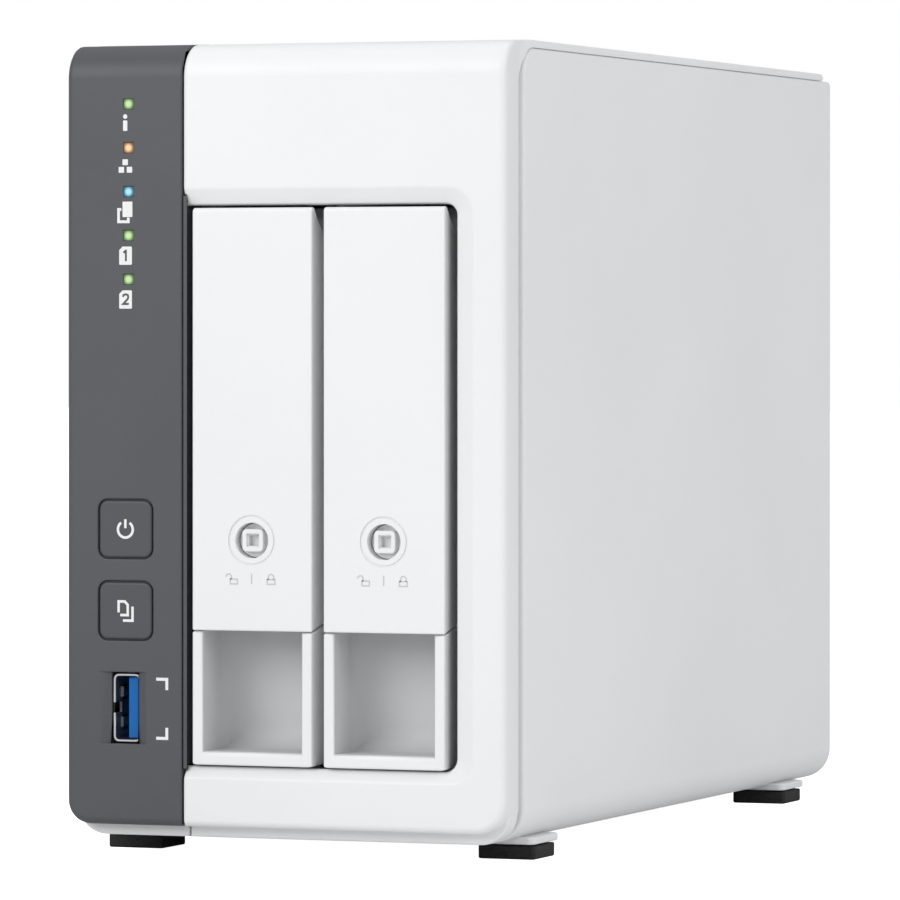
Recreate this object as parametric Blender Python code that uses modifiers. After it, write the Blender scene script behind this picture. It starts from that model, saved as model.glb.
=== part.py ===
"""A two-bay network storage box: an upright plastic enclosure with two drive trays behind lever handles.

Lengths are millimetres. x runs to the right, depth runs back from the front face, and z runs up from the
floor. place() turns a point into Blender's metres, with the middle of the enclosure over the origin.
"""

import math

import bmesh
import bpy
from mathutils import Matrix, Vector

MM = 0.001

# Enclosure
WIDTH = 90.0
HEIGHT = 155.8
DEPTH = 203.2
HALF = WIDTH / 2
WALL = 2.0
GAP = 0.3
BEZEL_BOTTOM = 5.9
BEZEL_DEPTH = 7.55
BEZEL_PLATE = 2.2
TOP_FILLET = 7.0
TOP_PLATE = 1.3
TOP_REAR = 197.8
COVER_FRONT = BEZEL_DEPTH + GAP
COVER_TOP = HEIGHT - TOP_PLATE - GAP
COVER_BOTTOM = 3.7
COVER_CORNER = 6.5
PANEL_SEAM = -20.25
COVER_SEAM = -20.85
REAR_FRONT = 195.5
REAR_BACK = 197.5

# Feet
FOOT_SIDE = 11.6
FOOT_LENGTH = 11.7
FOOT_HEIGHT = 2.6
FOOT_X = 32.6
FOOT_DEPTHS = {"front": 18.1, "rear": 172.8}

# Drive bay
BAY_LEFT = -20.35
BAY_RIGHT = 34.5
BAY_BOTTOM = 17.5
BAY_TOP = 124.45
BAY_MIDDLE = 7.0
BAY_PITCH = 26.95
FLARE_MARGINS = (3.6, 4.4, 2.5)
FLARE_STEPS = ((-0.4, 1.05), (0.0, 1.0), (0.15, 0.85), (1.6, 0.08), (2.3, 0.0))
TRAY_HALF = 12.25
TRAY_BOTTOM = 17.8
TRAY_TOP = 124.0
HANDLE_BOTTOM = 43.3
HANDLE_DEPTH = 6.9
HANDLE_SLANT = 1.6
HANDLE_AXIS = (3.0, 117.0)
PIN_RADIUS = 0.8
BORE_RADIUS = 1.0
RAIL = 2.0
POCKET_DEPTH = 13.5
TRAY_FACE_DEPTH = 16.5
LOCK_Z = 60.7
LOCK_RADIUS = 3.25
LOCK_COLLAR_BACK = 5.0
DRIVE_FRONT = 17.5
DRIVE_SIZE = (26.1, 147.0, 101.6)
DRIVE_BOTTOM = 20.1
CAGE_FRONT = 12.0
CAGE_BACK = 168.0
SHEET = 1.5

# Control panel
PANEL_X = -32.64
BUTTON_SIDE = 10.9
BUTTON_CORNER = 1.7
BUTTON_HEIGHTS = {"power": 62.6, "copy": 46.95}
LED_X = -32.0
LED_TOP = 144.0
LED_PITCH = 8.4
LED_SIDE = 1.6
LED_COUNT = 5
USB_X = -32.6
USB_HALF = (2.85, 6.55)
USB_SHEET = 0.4
FRONT_USB_Z = 28.3
DISH_HALF = 6.5
DISH_DEPTH = 0.75

# Electronics
BOARD_LEFT = -38.0
BOARD_THICKNESS = 1.6
BOARD_FACE = BOARD_LEFT + BOARD_THICKNESS
BACKPLANE_DEPTH = 169.3
REAR_USB_HEIGHTS = (50.5, 68.5)
LAN_HEIGHTS = (92.0, 112.0)
LAN_HALF = 8.0
LAN_RIGHT = -23.5
DC_Z = 27.2
DC_X = -30.8
DC_NOSE = 4.1
RESET_Z = 39.0
RESET_RADIUS = 1.1
VENT_LEFT = -18.0
VENT_RIGHT = 34.0
VENT_HEIGHTS = (15.0, 126.0)
VENT_ROWS = 6
VENT_PITCH = 4.0
VENT_SLOT = 1.8
FAN_CENTRE = (BAY_MIDDLE, 78.0)
FAN_SIDE = 60.0
FAN_FRONT = 175.0
FAN_BACK = 195.2
FAN_HOLE_RADIUS = 28.5
FAN_SCREW_OFFSET = 25.0
CASE_SCREW_X = 40.5
CASE_SCREW_HEIGHTS = (14.0, 148.0)

PART_COLLECTION = bpy.data.collections.new("network_storage")
TOOL_COLLECTION = bpy.data.collections.new("shaping_tools")


# ---------------------------------------------------------------- shaping helpers


def clear_scene():
    for old in list(bpy.data.objects):
        bpy.data.objects.remove(old, do_unlink=True)
    for collection in (PART_COLLECTION, TOOL_COLLECTION):
        bpy.context.scene.collection.children.link(collection)


def place(x, depth, z):
    return Vector((x, depth - DEPTH / 2, z)) * MM


def material(name, colour, roughness, metallic=0.0):
    made = bpy.data.materials.new(name)
    made.use_nodes = True
    shader = made.node_tree.nodes["Principled BSDF"]
    shader.inputs["Base Color"].default_value = (*colour, 1.0)
    shader.inputs["Roughness"].default_value = roughness
    shader.inputs["Metallic"].default_value = metallic
    return made


def add_object(name, mesh, finish=None):
    """A part when it has a finish, otherwise a hidden tool for a Boolean."""
    made = bpy.data.objects.new(name, mesh)
    if finish:
        own = finish.copy()
        own.name = name
        mesh.materials.append(own)
        PART_COLLECTION.objects.link(made)
    else:
        made.hide_render = True
        made.display_type = "WIRE"
        TOOL_COLLECTION.objects.link(made)
    return made


def mesh_from(shape, name):
    mesh = bpy.data.meshes.new(name)
    bmesh.ops.recalc_face_normals(shape, faces=shape.faces)
    shape.to_mesh(mesh)
    shape.free()
    return mesh


def box(name, low, high, finish=None):
    shape = bmesh.new()
    bmesh.ops.create_cube(shape, size=1.0)
    corner_a, corner_b = place(*low), place(*high)
    bmesh.ops.scale(shape, vec=corner_b - corner_a, verts=shape.verts)
    bmesh.ops.translate(shape, vec=(corner_a + corner_b) / 2, verts=shape.verts)
    return add_object(name, mesh_from(shape, name), finish)


def cylinder(name, centre, radius, depths, sides=16, finish=None):
    """A round bar along the depth. centre is (x, z)."""
    shape = bmesh.new()
    length = (depths[1] - depths[0]) * MM
    bmesh.ops.create_cone(
        shape, cap_ends=True, segments=sides, radius1=radius * MM, radius2=radius * MM, depth=length
    )
    middle = place(centre[0], sum(depths) / 2, centre[1])
    turn = Matrix.Translation(middle) @ Matrix.Rotation(math.pi / 2, 4, "X")
    bmesh.ops.transform(shape, matrix=turn, verts=shape.verts)
    return add_object(name, mesh_from(shape, name), finish)


def cross_bar(name, depth, z, radius, x_range, finish=None):
    """A round bar along x."""
    shape = bmesh.new()
    length = (x_range[1] - x_range[0]) * MM
    bmesh.ops.create_cone(
        shape, cap_ends=True, segments=12, radius1=radius * MM, radius2=radius * MM, depth=length
    )
    turn = Matrix.Translation(place(sum(x_range) / 2, depth, z)) @ Matrix.Rotation(math.pi / 2, 4, "Y")
    bmesh.ops.transform(shape, matrix=turn, verts=shape.verts)
    return add_object(name, mesh_from(shape, name), finish)


def upright_bar(name, x, depth, radius, z_range):
    """A round bar along z."""
    shape = bmesh.new()
    length = (z_range[1] - z_range[0]) * MM
    bmesh.ops.create_cone(
        shape, cap_ends=True, segments=10, radius1=radius * MM, radius2=radius * MM, depth=length
    )
    bmesh.ops.translate(shape, vec=place(x, depth, sum(z_range) / 2), verts=shape.verts)
    return add_object(name, mesh_from(shape, name))


def arc_steps(radius):
    if radius < 1.5:
        return 2
    return 4 if radius < 4.0 else 7


def outline(*corners, steps=None):
    """A closed outline through corners (u, v, radius), with each radius turned into an arc."""
    points = []
    for index, (u, v, radius) in enumerate(corners):
        here = Vector((u, v))
        if radius == 0:
            points.append(here)
            continue
        back = (Vector(corners[index - 1][:2]) - here).normalized()
        ahead = (Vector(corners[(index + 1) % len(corners)][:2]) - here).normalized()
        half_angle = back.angle(ahead) / 2
        centre = here + (back + ahead).normalized() * radius / math.sin(half_angle)
        start = here + back * radius / math.tan(half_angle) - centre
        end = here + ahead * radius / math.tan(half_angle) - centre
        sweep = math.atan2(start.x * end.y - start.y * end.x, start.dot(end))
        count = steps or arc_steps(radius)
        for step in range(count + 1):
            points.append(centre + Matrix.Rotation(sweep * step / count, 2) @ start)
    return points


def rectangle(left, low, right, high, radius=0.0):
    corners = ((left, low), (right, low), (right, high), (left, high))
    return outline(*((u, v, radius) for u, v in corners))


def square(u, v, half, radius=0.0):
    return rectangle(u - half, v - half, u + half, v + half, radius)


def circle(u, v, radius, sides=24):
    turns = (2 * math.pi * step / sides for step in range(sides))
    return [Vector((u + radius * math.cos(turn), v + radius * math.sin(turn))) for turn in turns]


# How an outline's u and v lie in the world: facing x they are y and z, facing depth x and z, facing z x and y
FACING = {
    "x": Matrix(((0, 0, 1), (1, 0, 0), (0, 1, 0))).to_4x4(),
    "depth": Matrix(((1, 0, 0), (0, 0, -1), (0, 1, 0))).to_4x4(),
    "z": Matrix.Identity(4),
}


def slab(name, facing, low, high, outlines, finish=None):
    """Flat outlines with a thickness from low to high. An outline inside another is a hole."""
    curve = bpy.data.curves.new(name, "CURVE")
    curve.dimensions = "2D"
    curve.fill_mode = "BOTH"
    curve.extrude = (high - low) / 2 * MM
    for points in outlines:
        spline = curve.splines.new("POLY")
        spline.points.add(len(points) - 1)
        for target, point in zip(spline.points, points):
            target.co = (point.x * MM, point.y * MM, 0.0, 1.0)
        spline.use_cyclic_u = True
    holder = bpy.data.objects.new(name, curve)
    TOOL_COLLECTION.objects.link(holder)
    graph = bpy.context.evaluated_depsgraph_get()
    raw = bpy.data.meshes.new_from_object(holder.evaluated_get(graph))
    bpy.data.objects.remove(holder)
    shape = bmesh.new()
    shape.from_mesh(raw)
    bpy.data.meshes.remove(raw)
    bmesh.ops.remove_doubles(shape, verts=shape.verts, dist=0.000001)
    middle = (low + high) / 2
    centre = {"x": (middle, 0, 0), "depth": (0, middle, 0), "z": (0, 0, middle)}[facing]
    bmesh.ops.transform(shape, matrix=FACING[facing], verts=shape.verts)
    bmesh.ops.translate(shape, vec=place(*centre), verts=shape.verts)
    return add_object(name, mesh_from(shape, name), finish)


def turned(name, profile, tip, finish):
    """A turned piece on an axis along the depth. Its profile is (radius, distance behind the tip)."""
    mesh = bpy.data.meshes.new(name)
    points = [(radius * MM, 0.0, -distance * MM) for radius, distance in profile]
    mesh.from_pydata(points, [(i, i + 1) for i in range(len(points) - 1)], [])
    made = add_object(name, mesh, finish)
    made.location = place(*tip)
    made.rotation_euler = (-math.pi / 2, 0.0, 0.0)
    screw = made.modifiers.new("turned", "SCREW")
    screw.axis = "Z"
    screw.steps = 12
    screw.render_steps = 12
    screw.use_merge_vertices = True
    screw.merge_threshold = 0.000001
    return made


def combine(target, operation, *tools):
    for tool in tools:
        modifier = target.modifiers.new(f"{operation.lower()} {tool.name}", "BOOLEAN")
        modifier.operation = operation
        modifier.object = tool
        modifier.solver = "EXACT"
    return target


def cut(target, *tools):
    return combine(target, "DIFFERENCE", *tools)


def join(target, *tools):
    return combine(target, "UNION", *tools)


def keep_within(target, *tools):
    return combine(target, "INTERSECT", *tools)


def set_origin(target, point):
    """Moves the object's origin to a point of its joint axis, leaving its shape where it is."""
    origin = place(*point)
    target.data.transform(Matrix.Translation(-origin))
    target.location = origin


def loft(shape, rings):
    """Closes rings of vertices, one after the other, into a skin with an end cap at each end."""
    for near, far in zip(rings, rings[1:]):
        for index in range(len(near)):
            nearby = (index + 1) % len(near)
            shape.faces.new((near[index], near[nearby], far[nearby], far[index]))
    shape.faces.new(rings[0])
    shape.faces.new(rings[-1])


# ---------------------------------------------------------------- finishes

WHITE = material("white_plastic", (0.84, 0.85, 0.86), 0.45)
DARK = material("dark_plastic", (0.12, 0.12, 0.13), 0.5)
RUBBER = material("rubber", (0.02, 0.02, 0.02), 0.85)
PAINTED = material("painted_steel", (0.72, 0.73, 0.74), 0.45, 0.3)
STEEL = material("steel", (0.62, 0.62, 0.63), 0.3, 1.0)
BLUE = material("blue_plastic", (0.02, 0.14, 0.55), 0.4)
BLACK = material("black_plastic", (0.03, 0.03, 0.03), 0.5)
GREEN = material("circuit_board", (0.02, 0.16, 0.07), 0.5)
CLEAR = material("clear_plastic", (0.75, 0.9, 0.8), 0.15)
CAST = material("cast_aluminium", (0.45, 0.46, 0.48), 0.45, 0.9)


# ---------------------------------------------------------------- enclosure


def enclosure_section():
    """The front caps and the top all stay inside this outline, seen from the front."""
    corners = outline(
        (-HALF, BEZEL_BOTTOM, 4.5), (HALF, BEZEL_BOTTOM, 6.3), (HALF, HEIGHT, 0.8), (-HALF, HEIGHT, 0.8)
    )
    return slab("enclosure_section", "depth", -1.0, DEPTH, [corners])


def cap_profile(back):
    """Side view of a front cap with its strip of top running back: it steps round the side cover's corner."""
    strip = HEIGHT - TOP_PLATE
    return outline(
        (0.0, BEZEL_BOTTOM, 0.0),
        (BEZEL_DEPTH, BEZEL_BOTTOM, 0.0),
        (BEZEL_DEPTH, strip, COVER_CORNER + GAP),
        (back, strip, 0.0),
        (back, HEIGHT, 0.0),
        (0.0, HEIGHT, TOP_FILLET),
    )


def hollow_cap(cap, left, right, left_corner, right_corner):
    """Leaves a cap as a shell that is open at the back."""
    corners = outline(
        (left, BEZEL_BOTTOM + WALL, left_corner),
        (right, BEZEL_BOTTOM + WALL, right_corner),
        (right, HEIGHT - 5.3, 0.0),
        (left, HEIGHT - 5.3, 0.0),
    )
    room = slab(f"{cap.name}_room", "depth", BEZEL_PLATE, 16.0, [corners])
    crown = box(f"{cap.name}_crown_room", (left, 5.0, HEIGHT - 6.0), (right, 16.0, HEIGHT - WALL))
    cut(cap, room, crown)


def bay_mouth(margin_top=0.0, margin_right=0.0, margin_bottom=0.0):
    return outline(
        (BAY_LEFT - 5.0, BAY_BOTTOM - margin_bottom, 0.0),
        (BAY_RIGHT + margin_right, BAY_BOTTOM - margin_bottom, 2.5 + margin_bottom),
        (BAY_RIGHT + margin_right, BAY_TOP + margin_top, 2.0 + margin_top),
        (BAY_LEFT - 5.0, BAY_TOP + margin_top, 0.0),
        steps=5,
    )


def bay_flare():
    """The soft slope round the bay's mouth, from wide at the front face to the mouth itself."""
    front = bay_mouth(*FLARE_MARGINS)
    back = bay_mouth()
    shape = bmesh.new()
    rings = []
    for depth, spread in FLARE_STEPS:
        ring = []
        for wide, narrow in zip(front, back):
            spot = narrow + (wide - narrow) * spread
            ring.append(shape.verts.new(place(spot.x, depth, spot.y)))
        rings.append(ring)
    loft(shape, rings)
    return add_object("bay_flare", mesh_from(shape, "bay_flare"))


def build_front_top_cover(section):
    cover = slab(
        "front_top_cover", "x", PANEL_SEAM + GAP / 2, HALF, [cap_profile(TOP_REAR)], WHITE
    )
    left_top = box(
        "left_top", (-HALF, 14.65, HEIGHT - TOP_PLATE), (PANEL_SEAM + 1.0, TOP_REAR, HEIGHT)
    )
    join(cover, left_top)
    keep_within(cover, section)
    hollow_cap(cover, PANEL_SEAM - 1.0, HALF - WALL, 0.0, 4.3)
    mouth = slab("bay_hole", "depth", 2.0, 5.0, [bay_mouth()])
    cut(cover, bay_flare(), mouth)


def build_control_panel(section):
    panel = slab("control_panel", "x", -HALF, PANEL_SEAM - GAP / 2, [cap_profile(14.35)], DARK)
    keep_within(panel, section)
    hollow_cap(panel, -HALF + WALL, PANEL_SEAM - 1.75, 2.5, 0.0)
    for name, height in BUTTON_HEIGHTS.items():
        corners = square(PANEL_X, height, BUTTON_SIDE / 2 + GAP, BUTTON_CORNER + GAP)
        cut(panel, slab(f"{name}_button_hole", "depth", -1.0, 4.0, [corners]))
    for number, height in light_heights().items():
        corners = square(LED_X, height, LED_SIDE / 2)
        cut(panel, slab(f"light_hole_{number}", "depth", -1.0, 4.0, [corners]))
    wide, tall = (half + GAP for half in USB_HALF)
    low, high = FRONT_USB_Z - tall, FRONT_USB_Z + tall
    dish = outline(
        (USB_X - DISH_HALF, -1.0, 0),
        (USB_X - wide - GAP, DISH_DEPTH, 0),
        (USB_X + wide + GAP, DISH_DEPTH, 0),
        (USB_X + DISH_HALF, -1.0, 0),
    )
    cut(panel, slab("usb_dish", "z", low, high, [dish]))
    cut(panel, box("usb_hole", (USB_X - wide, -1.0, low), (USB_X + wide, 4.0, high)))


def light_heights():
    return {number: LED_TOP - LED_PITCH * (number - 1) for number in range(1, LED_COUNT + 1)}


def build_side_cover(name, side):
    """One half of the outer skin: a side and its share of the underside, with two foot bosses."""
    inner_edge = COVER_SEAM + side * GAP / 2
    outer, inner = side * HALF, side * (HALF - WALL)
    corners = outline(
        (outer, COVER_TOP, 0.0),
        (outer, COVER_BOTTOM, COVER_CORNER),
        (inner_edge, COVER_BOTTOM, 0.0),
        (inner_edge, COVER_BOTTOM + WALL, 0.0),
        (inner, COVER_BOTTOM + WALL, COVER_CORNER - WALL),
        (inner, COVER_TOP, 0.0),
    )
    cover = slab(name, "depth", COVER_FRONT, DEPTH, [corners], WHITE)
    side_view = outline(
        (COVER_FRONT, 0.0, 0.0),
        (DEPTH, 0.0, 0.0),
        (DEPTH, COVER_TOP, 1.2),
        (COVER_FRONT, COVER_TOP, COVER_CORNER),
    )
    keep_within(cover, slab(f"{name}_side_view", "x", -50.0, 50.0, [side_view]))
    for place_name, start in FOOT_DEPTHS.items():
        left, right = sorted((side * (FOOT_X - 0.8), side * (FOOT_X + FOOT_SIDE + 0.2)))
        boss = box(
            f"{name}_{place_name}_boss",
            (left, start - 0.8, FOOT_HEIGHT + GAP),
            (right, start + FOOT_LENGTH + 2.0, COVER_BOTTOM + 4.0),
        )
        boss_limit = keep_within(boss, foot_boss_limit(f"{name}_{place_name}_limit", side, start))
        join(cover, boss_limit)
    for index, height in enumerate(CASE_SCREW_HEIGHTS):
        left, right = sorted((side * (CASE_SCREW_X - 2.2), side * (HALF - WALL + 0.5)))
        low, high = height - 4.0, height + 4.0
        join(cover, box(f"{name}_post_{index}", (left, 186.0, low), (right, REAR_FRONT - GAP, high)))
        screw_line = (side * CASE_SCREW_X, height)
        cut(cover, cylinder(f"{name}_post_hole_{index}", screw_line, 1.7, (184.0, 200.0), 10))


def foot_boss_limit(name, side, start):
    """Slants a boss's outer side, and keeps its top from rising into the enclosure."""
    outer = side * (FOOT_X + FOOT_SIDE + 0.2)
    inner = side * (FOOT_X - 0.8)
    corners = outline(
        (inner, FOOT_HEIGHT, 0.0),
        (outer, FOOT_HEIGHT, 0.0),
        (side * (HALF - WALL), COVER_BOTTOM + WALL, 0.0),
        (side * (HALF - COVER_CORNER), COVER_BOTTOM + 1.0, 0.0),
        (inner, COVER_BOTTOM + 1.0, 0.0),
    )
    return slab(name, "depth", start - 5.0, start + 20.0, [corners])


def build_feet():
    for side_name, side in (("left", -1), ("right", 1)):
        for place_name, start in FOOT_DEPTHS.items():
            left, right = sorted((side * FOOT_X, side * (FOOT_X + FOOT_SIDE)))
            corners = rectangle(left, start, right, start + FOOT_LENGTH, 0.6)
            slab(f"foot_{place_name}_{side_name}", "z", 0.0, FOOT_HEIGHT, [corners], RUBBER)


def fan_slots():
    """Level slots across the fan's circle, either side of a post down its middle."""
    slots = []
    half_slot, half_post = 1.6, 1.2
    for row in range(-4, 5):
        height = row * 6.0
        reach = math.sqrt((FAN_HOLE_RADIUS - 1.5) ** 2 - (abs(height) + half_slot) ** 2)
        low, high = FAN_CENTRE[1] + height - half_slot, FAN_CENTRE[1] + height + half_slot
        for left, right in ((-reach, -half_post), (half_post, reach)):
            slots.append(rectangle(FAN_CENTRE[0] + left, low, FAN_CENTRE[0] + right, high, 1.4))
    return slots


def fan_screw_centres():
    return [
        (FAN_CENTRE[0] + x * FAN_SCREW_OFFSET, FAN_CENTRE[1] + z * FAN_SCREW_OFFSET)
        for x in (-1, 1)
        for z in (-1, 1)
    ]


def case_screw_centres():
    return [(side * CASE_SCREW_X, height) for side in (-1, 1) for height in CASE_SCREW_HEIGHTS]


def build_rear_panel():
    reach = HALF - WALL - GAP
    holes = fan_slots()
    holes += [circle(x, z, 1.8, 10) for x, z in fan_screw_centres() + case_screw_centres()]
    for height in REAR_USB_HEIGHTS:
        wide, tall = (half + GAP for half in USB_HALF)
        holes.append(rectangle(USB_X - wide, height - tall, USB_X + wide, height + tall))
    for height in LAN_HEIGHTS:
        low, high = height - LAN_HALF - GAP, height + LAN_HALF + GAP
        holes.append(rectangle(BOARD_FACE, low, LAN_RIGHT + GAP, high))
    holes.append(circle(DC_X, DC_Z, DC_NOSE + GAP, 16))
    holes.append(circle(DC_X, RESET_Z, RESET_RADIUS + 0.5, 10))
    holes.append(rectangle(DC_X - 1.5, 131.0, DC_X + 1.5, 138.0, 0.8))
    for first_slot in VENT_HEIGHTS:
        for row in range(VENT_ROWS):
            low = first_slot + row * VENT_PITCH
            holes.append(rectangle(VENT_LEFT, low, VENT_RIGHT, low + VENT_SLOT, 0.8))
    low = COVER_BOTTOM + WALL + GAP
    edge = outline((-reach, low, 5.0), (reach, low, 5.0), (reach, COVER_TOP, 0.0), (-reach, COVER_TOP, 0.0))
    slab("rear_panel", "depth", REAR_FRONT, REAR_BACK, [edge] + holes, PAINTED)


# ---------------------------------------------------------------- drive bay


def bay_centres():
    return {number: BAY_MIDDLE + (number - 1.5) * BAY_PITCH for number in (1, 2)}


def build_drive_cage():
    """The sheet metal tunnel that the trays slide in, with guide ribs on its floor and ceiling."""
    inner_left, inner_right = BAY_LEFT - 0.25, BAY_RIGHT + 0.1
    low, high = BAY_BOTTOM - 0.1, BAY_TOP
    outer = rectangle(inner_left - SHEET, low - SHEET, inner_right + SHEET, high + SHEET)
    ledge, rib, rise = 1.6, 0.9, 1.6
    inner = outline(
        (inner_left, low + rise, 0), (inner_left + ledge, low + rise, 0), (inner_left + ledge, low, 0),
        (BAY_MIDDLE - rib, low, 0), (BAY_MIDDLE - rib, low + rise, 0),
        (BAY_MIDDLE + rib, low + rise, 0), (BAY_MIDDLE + rib, low, 0),
        (inner_right - ledge, low, 0), (inner_right - ledge, low + rise, 0), (inner_right, low + rise, 0),
        (inner_right, high - rise, 0), (inner_right - ledge, high - rise, 0), (inner_right - ledge, high, 0),
        (BAY_MIDDLE + rib, high, 0), (BAY_MIDDLE + rib, high - rise, 0),
        (BAY_MIDDLE - rib, high - rise, 0), (BAY_MIDDLE - rib, high, 0),
        (inner_left + ledge, high, 0), (inner_left + ledge, high - rise, 0), (inner_left, high - rise, 0),
    )
    slab("drive_cage", "depth", CAGE_FRONT, CAGE_BACK, [outer, inner], PAINTED)


def build_tray(number, centre):
    """The carrier: a finger pocket, a bulkhead, ears for the hinge pin and two rails that hold the drive."""
    name = f"drive_tray_{number}"
    left, right = centre - TRAY_HALF, centre + TRAY_HALF
    block_side = outline(
        (0.0, TRAY_BOTTOM, 0.4),
        (TRAY_FACE_DEPTH, TRAY_BOTTOM, 0.0),
        (TRAY_FACE_DEPTH, HANDLE_BOTTOM + 3.0, 0.0),
        (HANDLE_DEPTH + 1.0, HANDLE_BOTTOM + HANDLE_SLANT - GAP, 0.0),
        (0.0, HANDLE_BOTTOM - GAP, 0.0),
    )
    tray = slab(name, "x", left, right, [block_side], WHITE)
    pocket = outline(
        (centre - 10.15, -1.0, 0.0),
        (centre + 10.15, -1.0, 0.0),
        (centre + 10.15, POCKET_DEPTH, 5.0),
        (centre - 10.15, POCKET_DEPTH, 5.0),
    )
    cut(tray, slab(f"{name}_pocket", "z", 20.4, 60.0, [pocket]))
    low_corner = (left + GAP, TRAY_FACE_DEPTH - WALL, TRAY_BOTTOM + 0.5)
    join(tray, box(f"{name}_bulkhead", low_corner, (right - GAP, TRAY_FACE_DEPTH, TRAY_TOP - GAP)))
    for side_name, side in (("left", -1), ("right", 1)):
        wall_outer, wall_inner = centre + side * (TRAY_HALF - 0.3), centre + side * (TRAY_HALF - 1.8)
        low, high = sorted((wall_outer, wall_inner))
        wall = box(f"{name}_{side_name}_wall", (low, HANDLE_DEPTH + 0.9, 40.0), (high, 16.0, 112.0))
        ear_outer, ear_inner = centre + side * 10.6, centre + side * 9.2
        low, high = sorted((ear_outer, ear_inner))
        ear_side = outline(
            (HANDLE_AXIS[0] - 1.5, HANDLE_AXIS[1] - 2.6, 1.2),
            (16.0, 108.0, 0.0),
            (16.0, 119.0, 0.0),
            (HANDLE_AXIS[0] - 1.5, HANDLE_AXIS[1] + 1.5, 1.4),
        )
        ear = slab(f"{name}_{side_name}_ear", "x", low, high, [ear_side])
        join(tray, wall, ear)
    cut(tray, cross_bar(f"{name}_bore", *HANDLE_AXIS, BORE_RADIUS, (centre - 15.0, centre + 15.0)))
    window = rectangle(centre - 6.0, 30.0, centre + 6.0, 150.0)
    for rail_name, low, towards in (("lower", TRAY_BOTTOM, 1), ("upper", TRAY_TOP - RAIL, -1)):
        rail = box(f"{name}_{rail_name}_rail", (centre - 10.0, 15.0, low), (centre + 10.0, 165.0, low + RAIL))
        join(tray, rail)
        cut(tray, slab(f"{name}_{rail_name}_window", "z", low - 1.0, low + RAIL + 1.0, [window]))
        build_drive_clip(f"drive_clip_{number}_{rail_name}", centre, low + GAP, towards)
    build_hinge_pin(number, centre)


def build_hinge_pin(number, centre):
    reach = TRAY_HALF - 0.6
    cross_bar(f"hinge_pin_{number}", *HANDLE_AXIS, PIN_RADIUS, (centre - reach, centre + reach), STEEL)


def drive_hole_depths():
    return (DRIVE_FRONT + 28.5, DRIVE_FRONT + 130.1)


def build_drive_clip(name, centre, low, towards):
    """A strip in the rail's window, with two stubs that sit in the drive's side holes."""
    thickness = 1.4
    clip = box(name, (centre - 5.7, 30.3, low), (centre + 5.7, 149.7, low + thickness), WHITE)
    for index, depth in enumerate(drive_hole_depths()):
        stub_low = low + thickness / 2 if towards > 0 else low - 2.2
        stub_high = low + thickness + 2.2 if towards > 0 else low + thickness / 2
        stub = upright_bar(f"{name}_stub_{index}", centre, depth, 1.3, (stub_low, stub_high))
        join(clip, stub)


def build_handle(number, centre):
    """The lever that is the tray's face: hollow behind, hinged near its top, pulled by its lower edge."""
    name = f"tray_handle_{number}"
    side_view = outline(
        (0.0, HANDLE_BOTTOM, 0.3),
        (HANDLE_DEPTH, HANDLE_BOTTOM + HANDLE_SLANT, 0.0),
        (HANDLE_DEPTH, 119.0, 2.0),
        (3.6, 121.6, 1.2),
        (1.6, TRAY_TOP, 0.6),
        (0.0, TRAY_TOP, 0.8),
    )
    handle = slab(name, "x", centre - TRAY_HALF, centre + TRAY_HALF, [side_view], WHITE)
    room_side = outline(
        (1.5, HANDLE_BOTTOM + 2.2, 0.0), (9.0, HANDLE_BOTTOM + 4.2, 0.0), (9.0, 126.0, 0.0),
        (3.4, 126.0, 0.0), (3.0, 121.2, 0.0), (1.2, 120.0, 0.0), (1.2, 112.0, 0.0), (1.5, 110.0, 0.0),
    )
    inner = TRAY_HALF - 1.2
    cut(handle, slab(f"{name}_room", "x", centre - inner, centre + inner, [room_side]))
    collar = cylinder(f"{name}_collar", (centre, LOCK_Z), 4.9, (1.0, LOCK_COLLAR_BACK), 20)
    join(handle, collar)
    ring = cylinder(f"{name}_ring", (centre, LOCK_Z), 4.8, (-1.0, 0.25), 28)
    lock_hole = cylinder(f"{name}_lock_hole", (centre, LOCK_Z), LOCK_RADIUS + GAP / 2, (-1.0, 9.0), 24)
    reach = TRAY_HALF - 0.5
    bore = cross_bar(f"{name}_bore", *HANDLE_AXIS, BORE_RADIUS, (centre - reach, centre + reach))
    cut(handle, ring, lock_hole, bore)
    set_origin(handle, (centre, *HANDLE_AXIS))


def build_lock(number, centre):
    """A quarter-turn lock: a round body with a square key post in front and a tongue behind."""
    name = f"tray_lock_{number}"
    lock = cylinder(name, (centre, LOCK_Z), LOCK_RADIUS, (2.2, 6.0), 24, WHITE)
    post = slab(f"{name}_post", "depth", 0.5, 3.0, [square(centre, LOCK_Z, 2.15, 0.8)])
    low_corner = (centre - 1.5, LOCK_COLLAR_BACK + GAP, LOCK_Z - 1.5)
    tongue = box(f"{name}_tongue", low_corner, (centre + 6.0, 6.7, LOCK_Z + 1.5))
    key_hole = slab(f"{name}_key_hole", "depth", -1.0, 2.6, [square(centre, LOCK_Z, 1.25)])
    join(lock, post, tongue)
    cut(lock, key_hole)
    set_origin(lock, (centre, 2.2, LOCK_Z))


def build_drive(number, centre):
    """A 3.5 inch drive on its long edge, with the four side holes that its clips reach into."""
    name = f"hard_drive_{number}"
    width, length, height = DRIVE_SIZE
    top = DRIVE_BOTTOM + height
    corners = rectangle(DRIVE_FRONT, DRIVE_BOTTOM, DRIVE_FRONT + length, top, 3.0)
    drive = slab(name, "x", centre - width / 2, centre + width / 2, [corners], CAST)
    for index, depth in enumerate(drive_hole_depths()):
        for side_name, edge in (("low", DRIVE_BOTTOM), ("high", top)):
            z_range = (edge - 4.0, edge + 4.0)
            cut(drive, upright_bar(f"{name}_{side_name}_hole_{index}", centre, depth, 1.7, z_range))


# ---------------------------------------------------------------- control panel pieces


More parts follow.
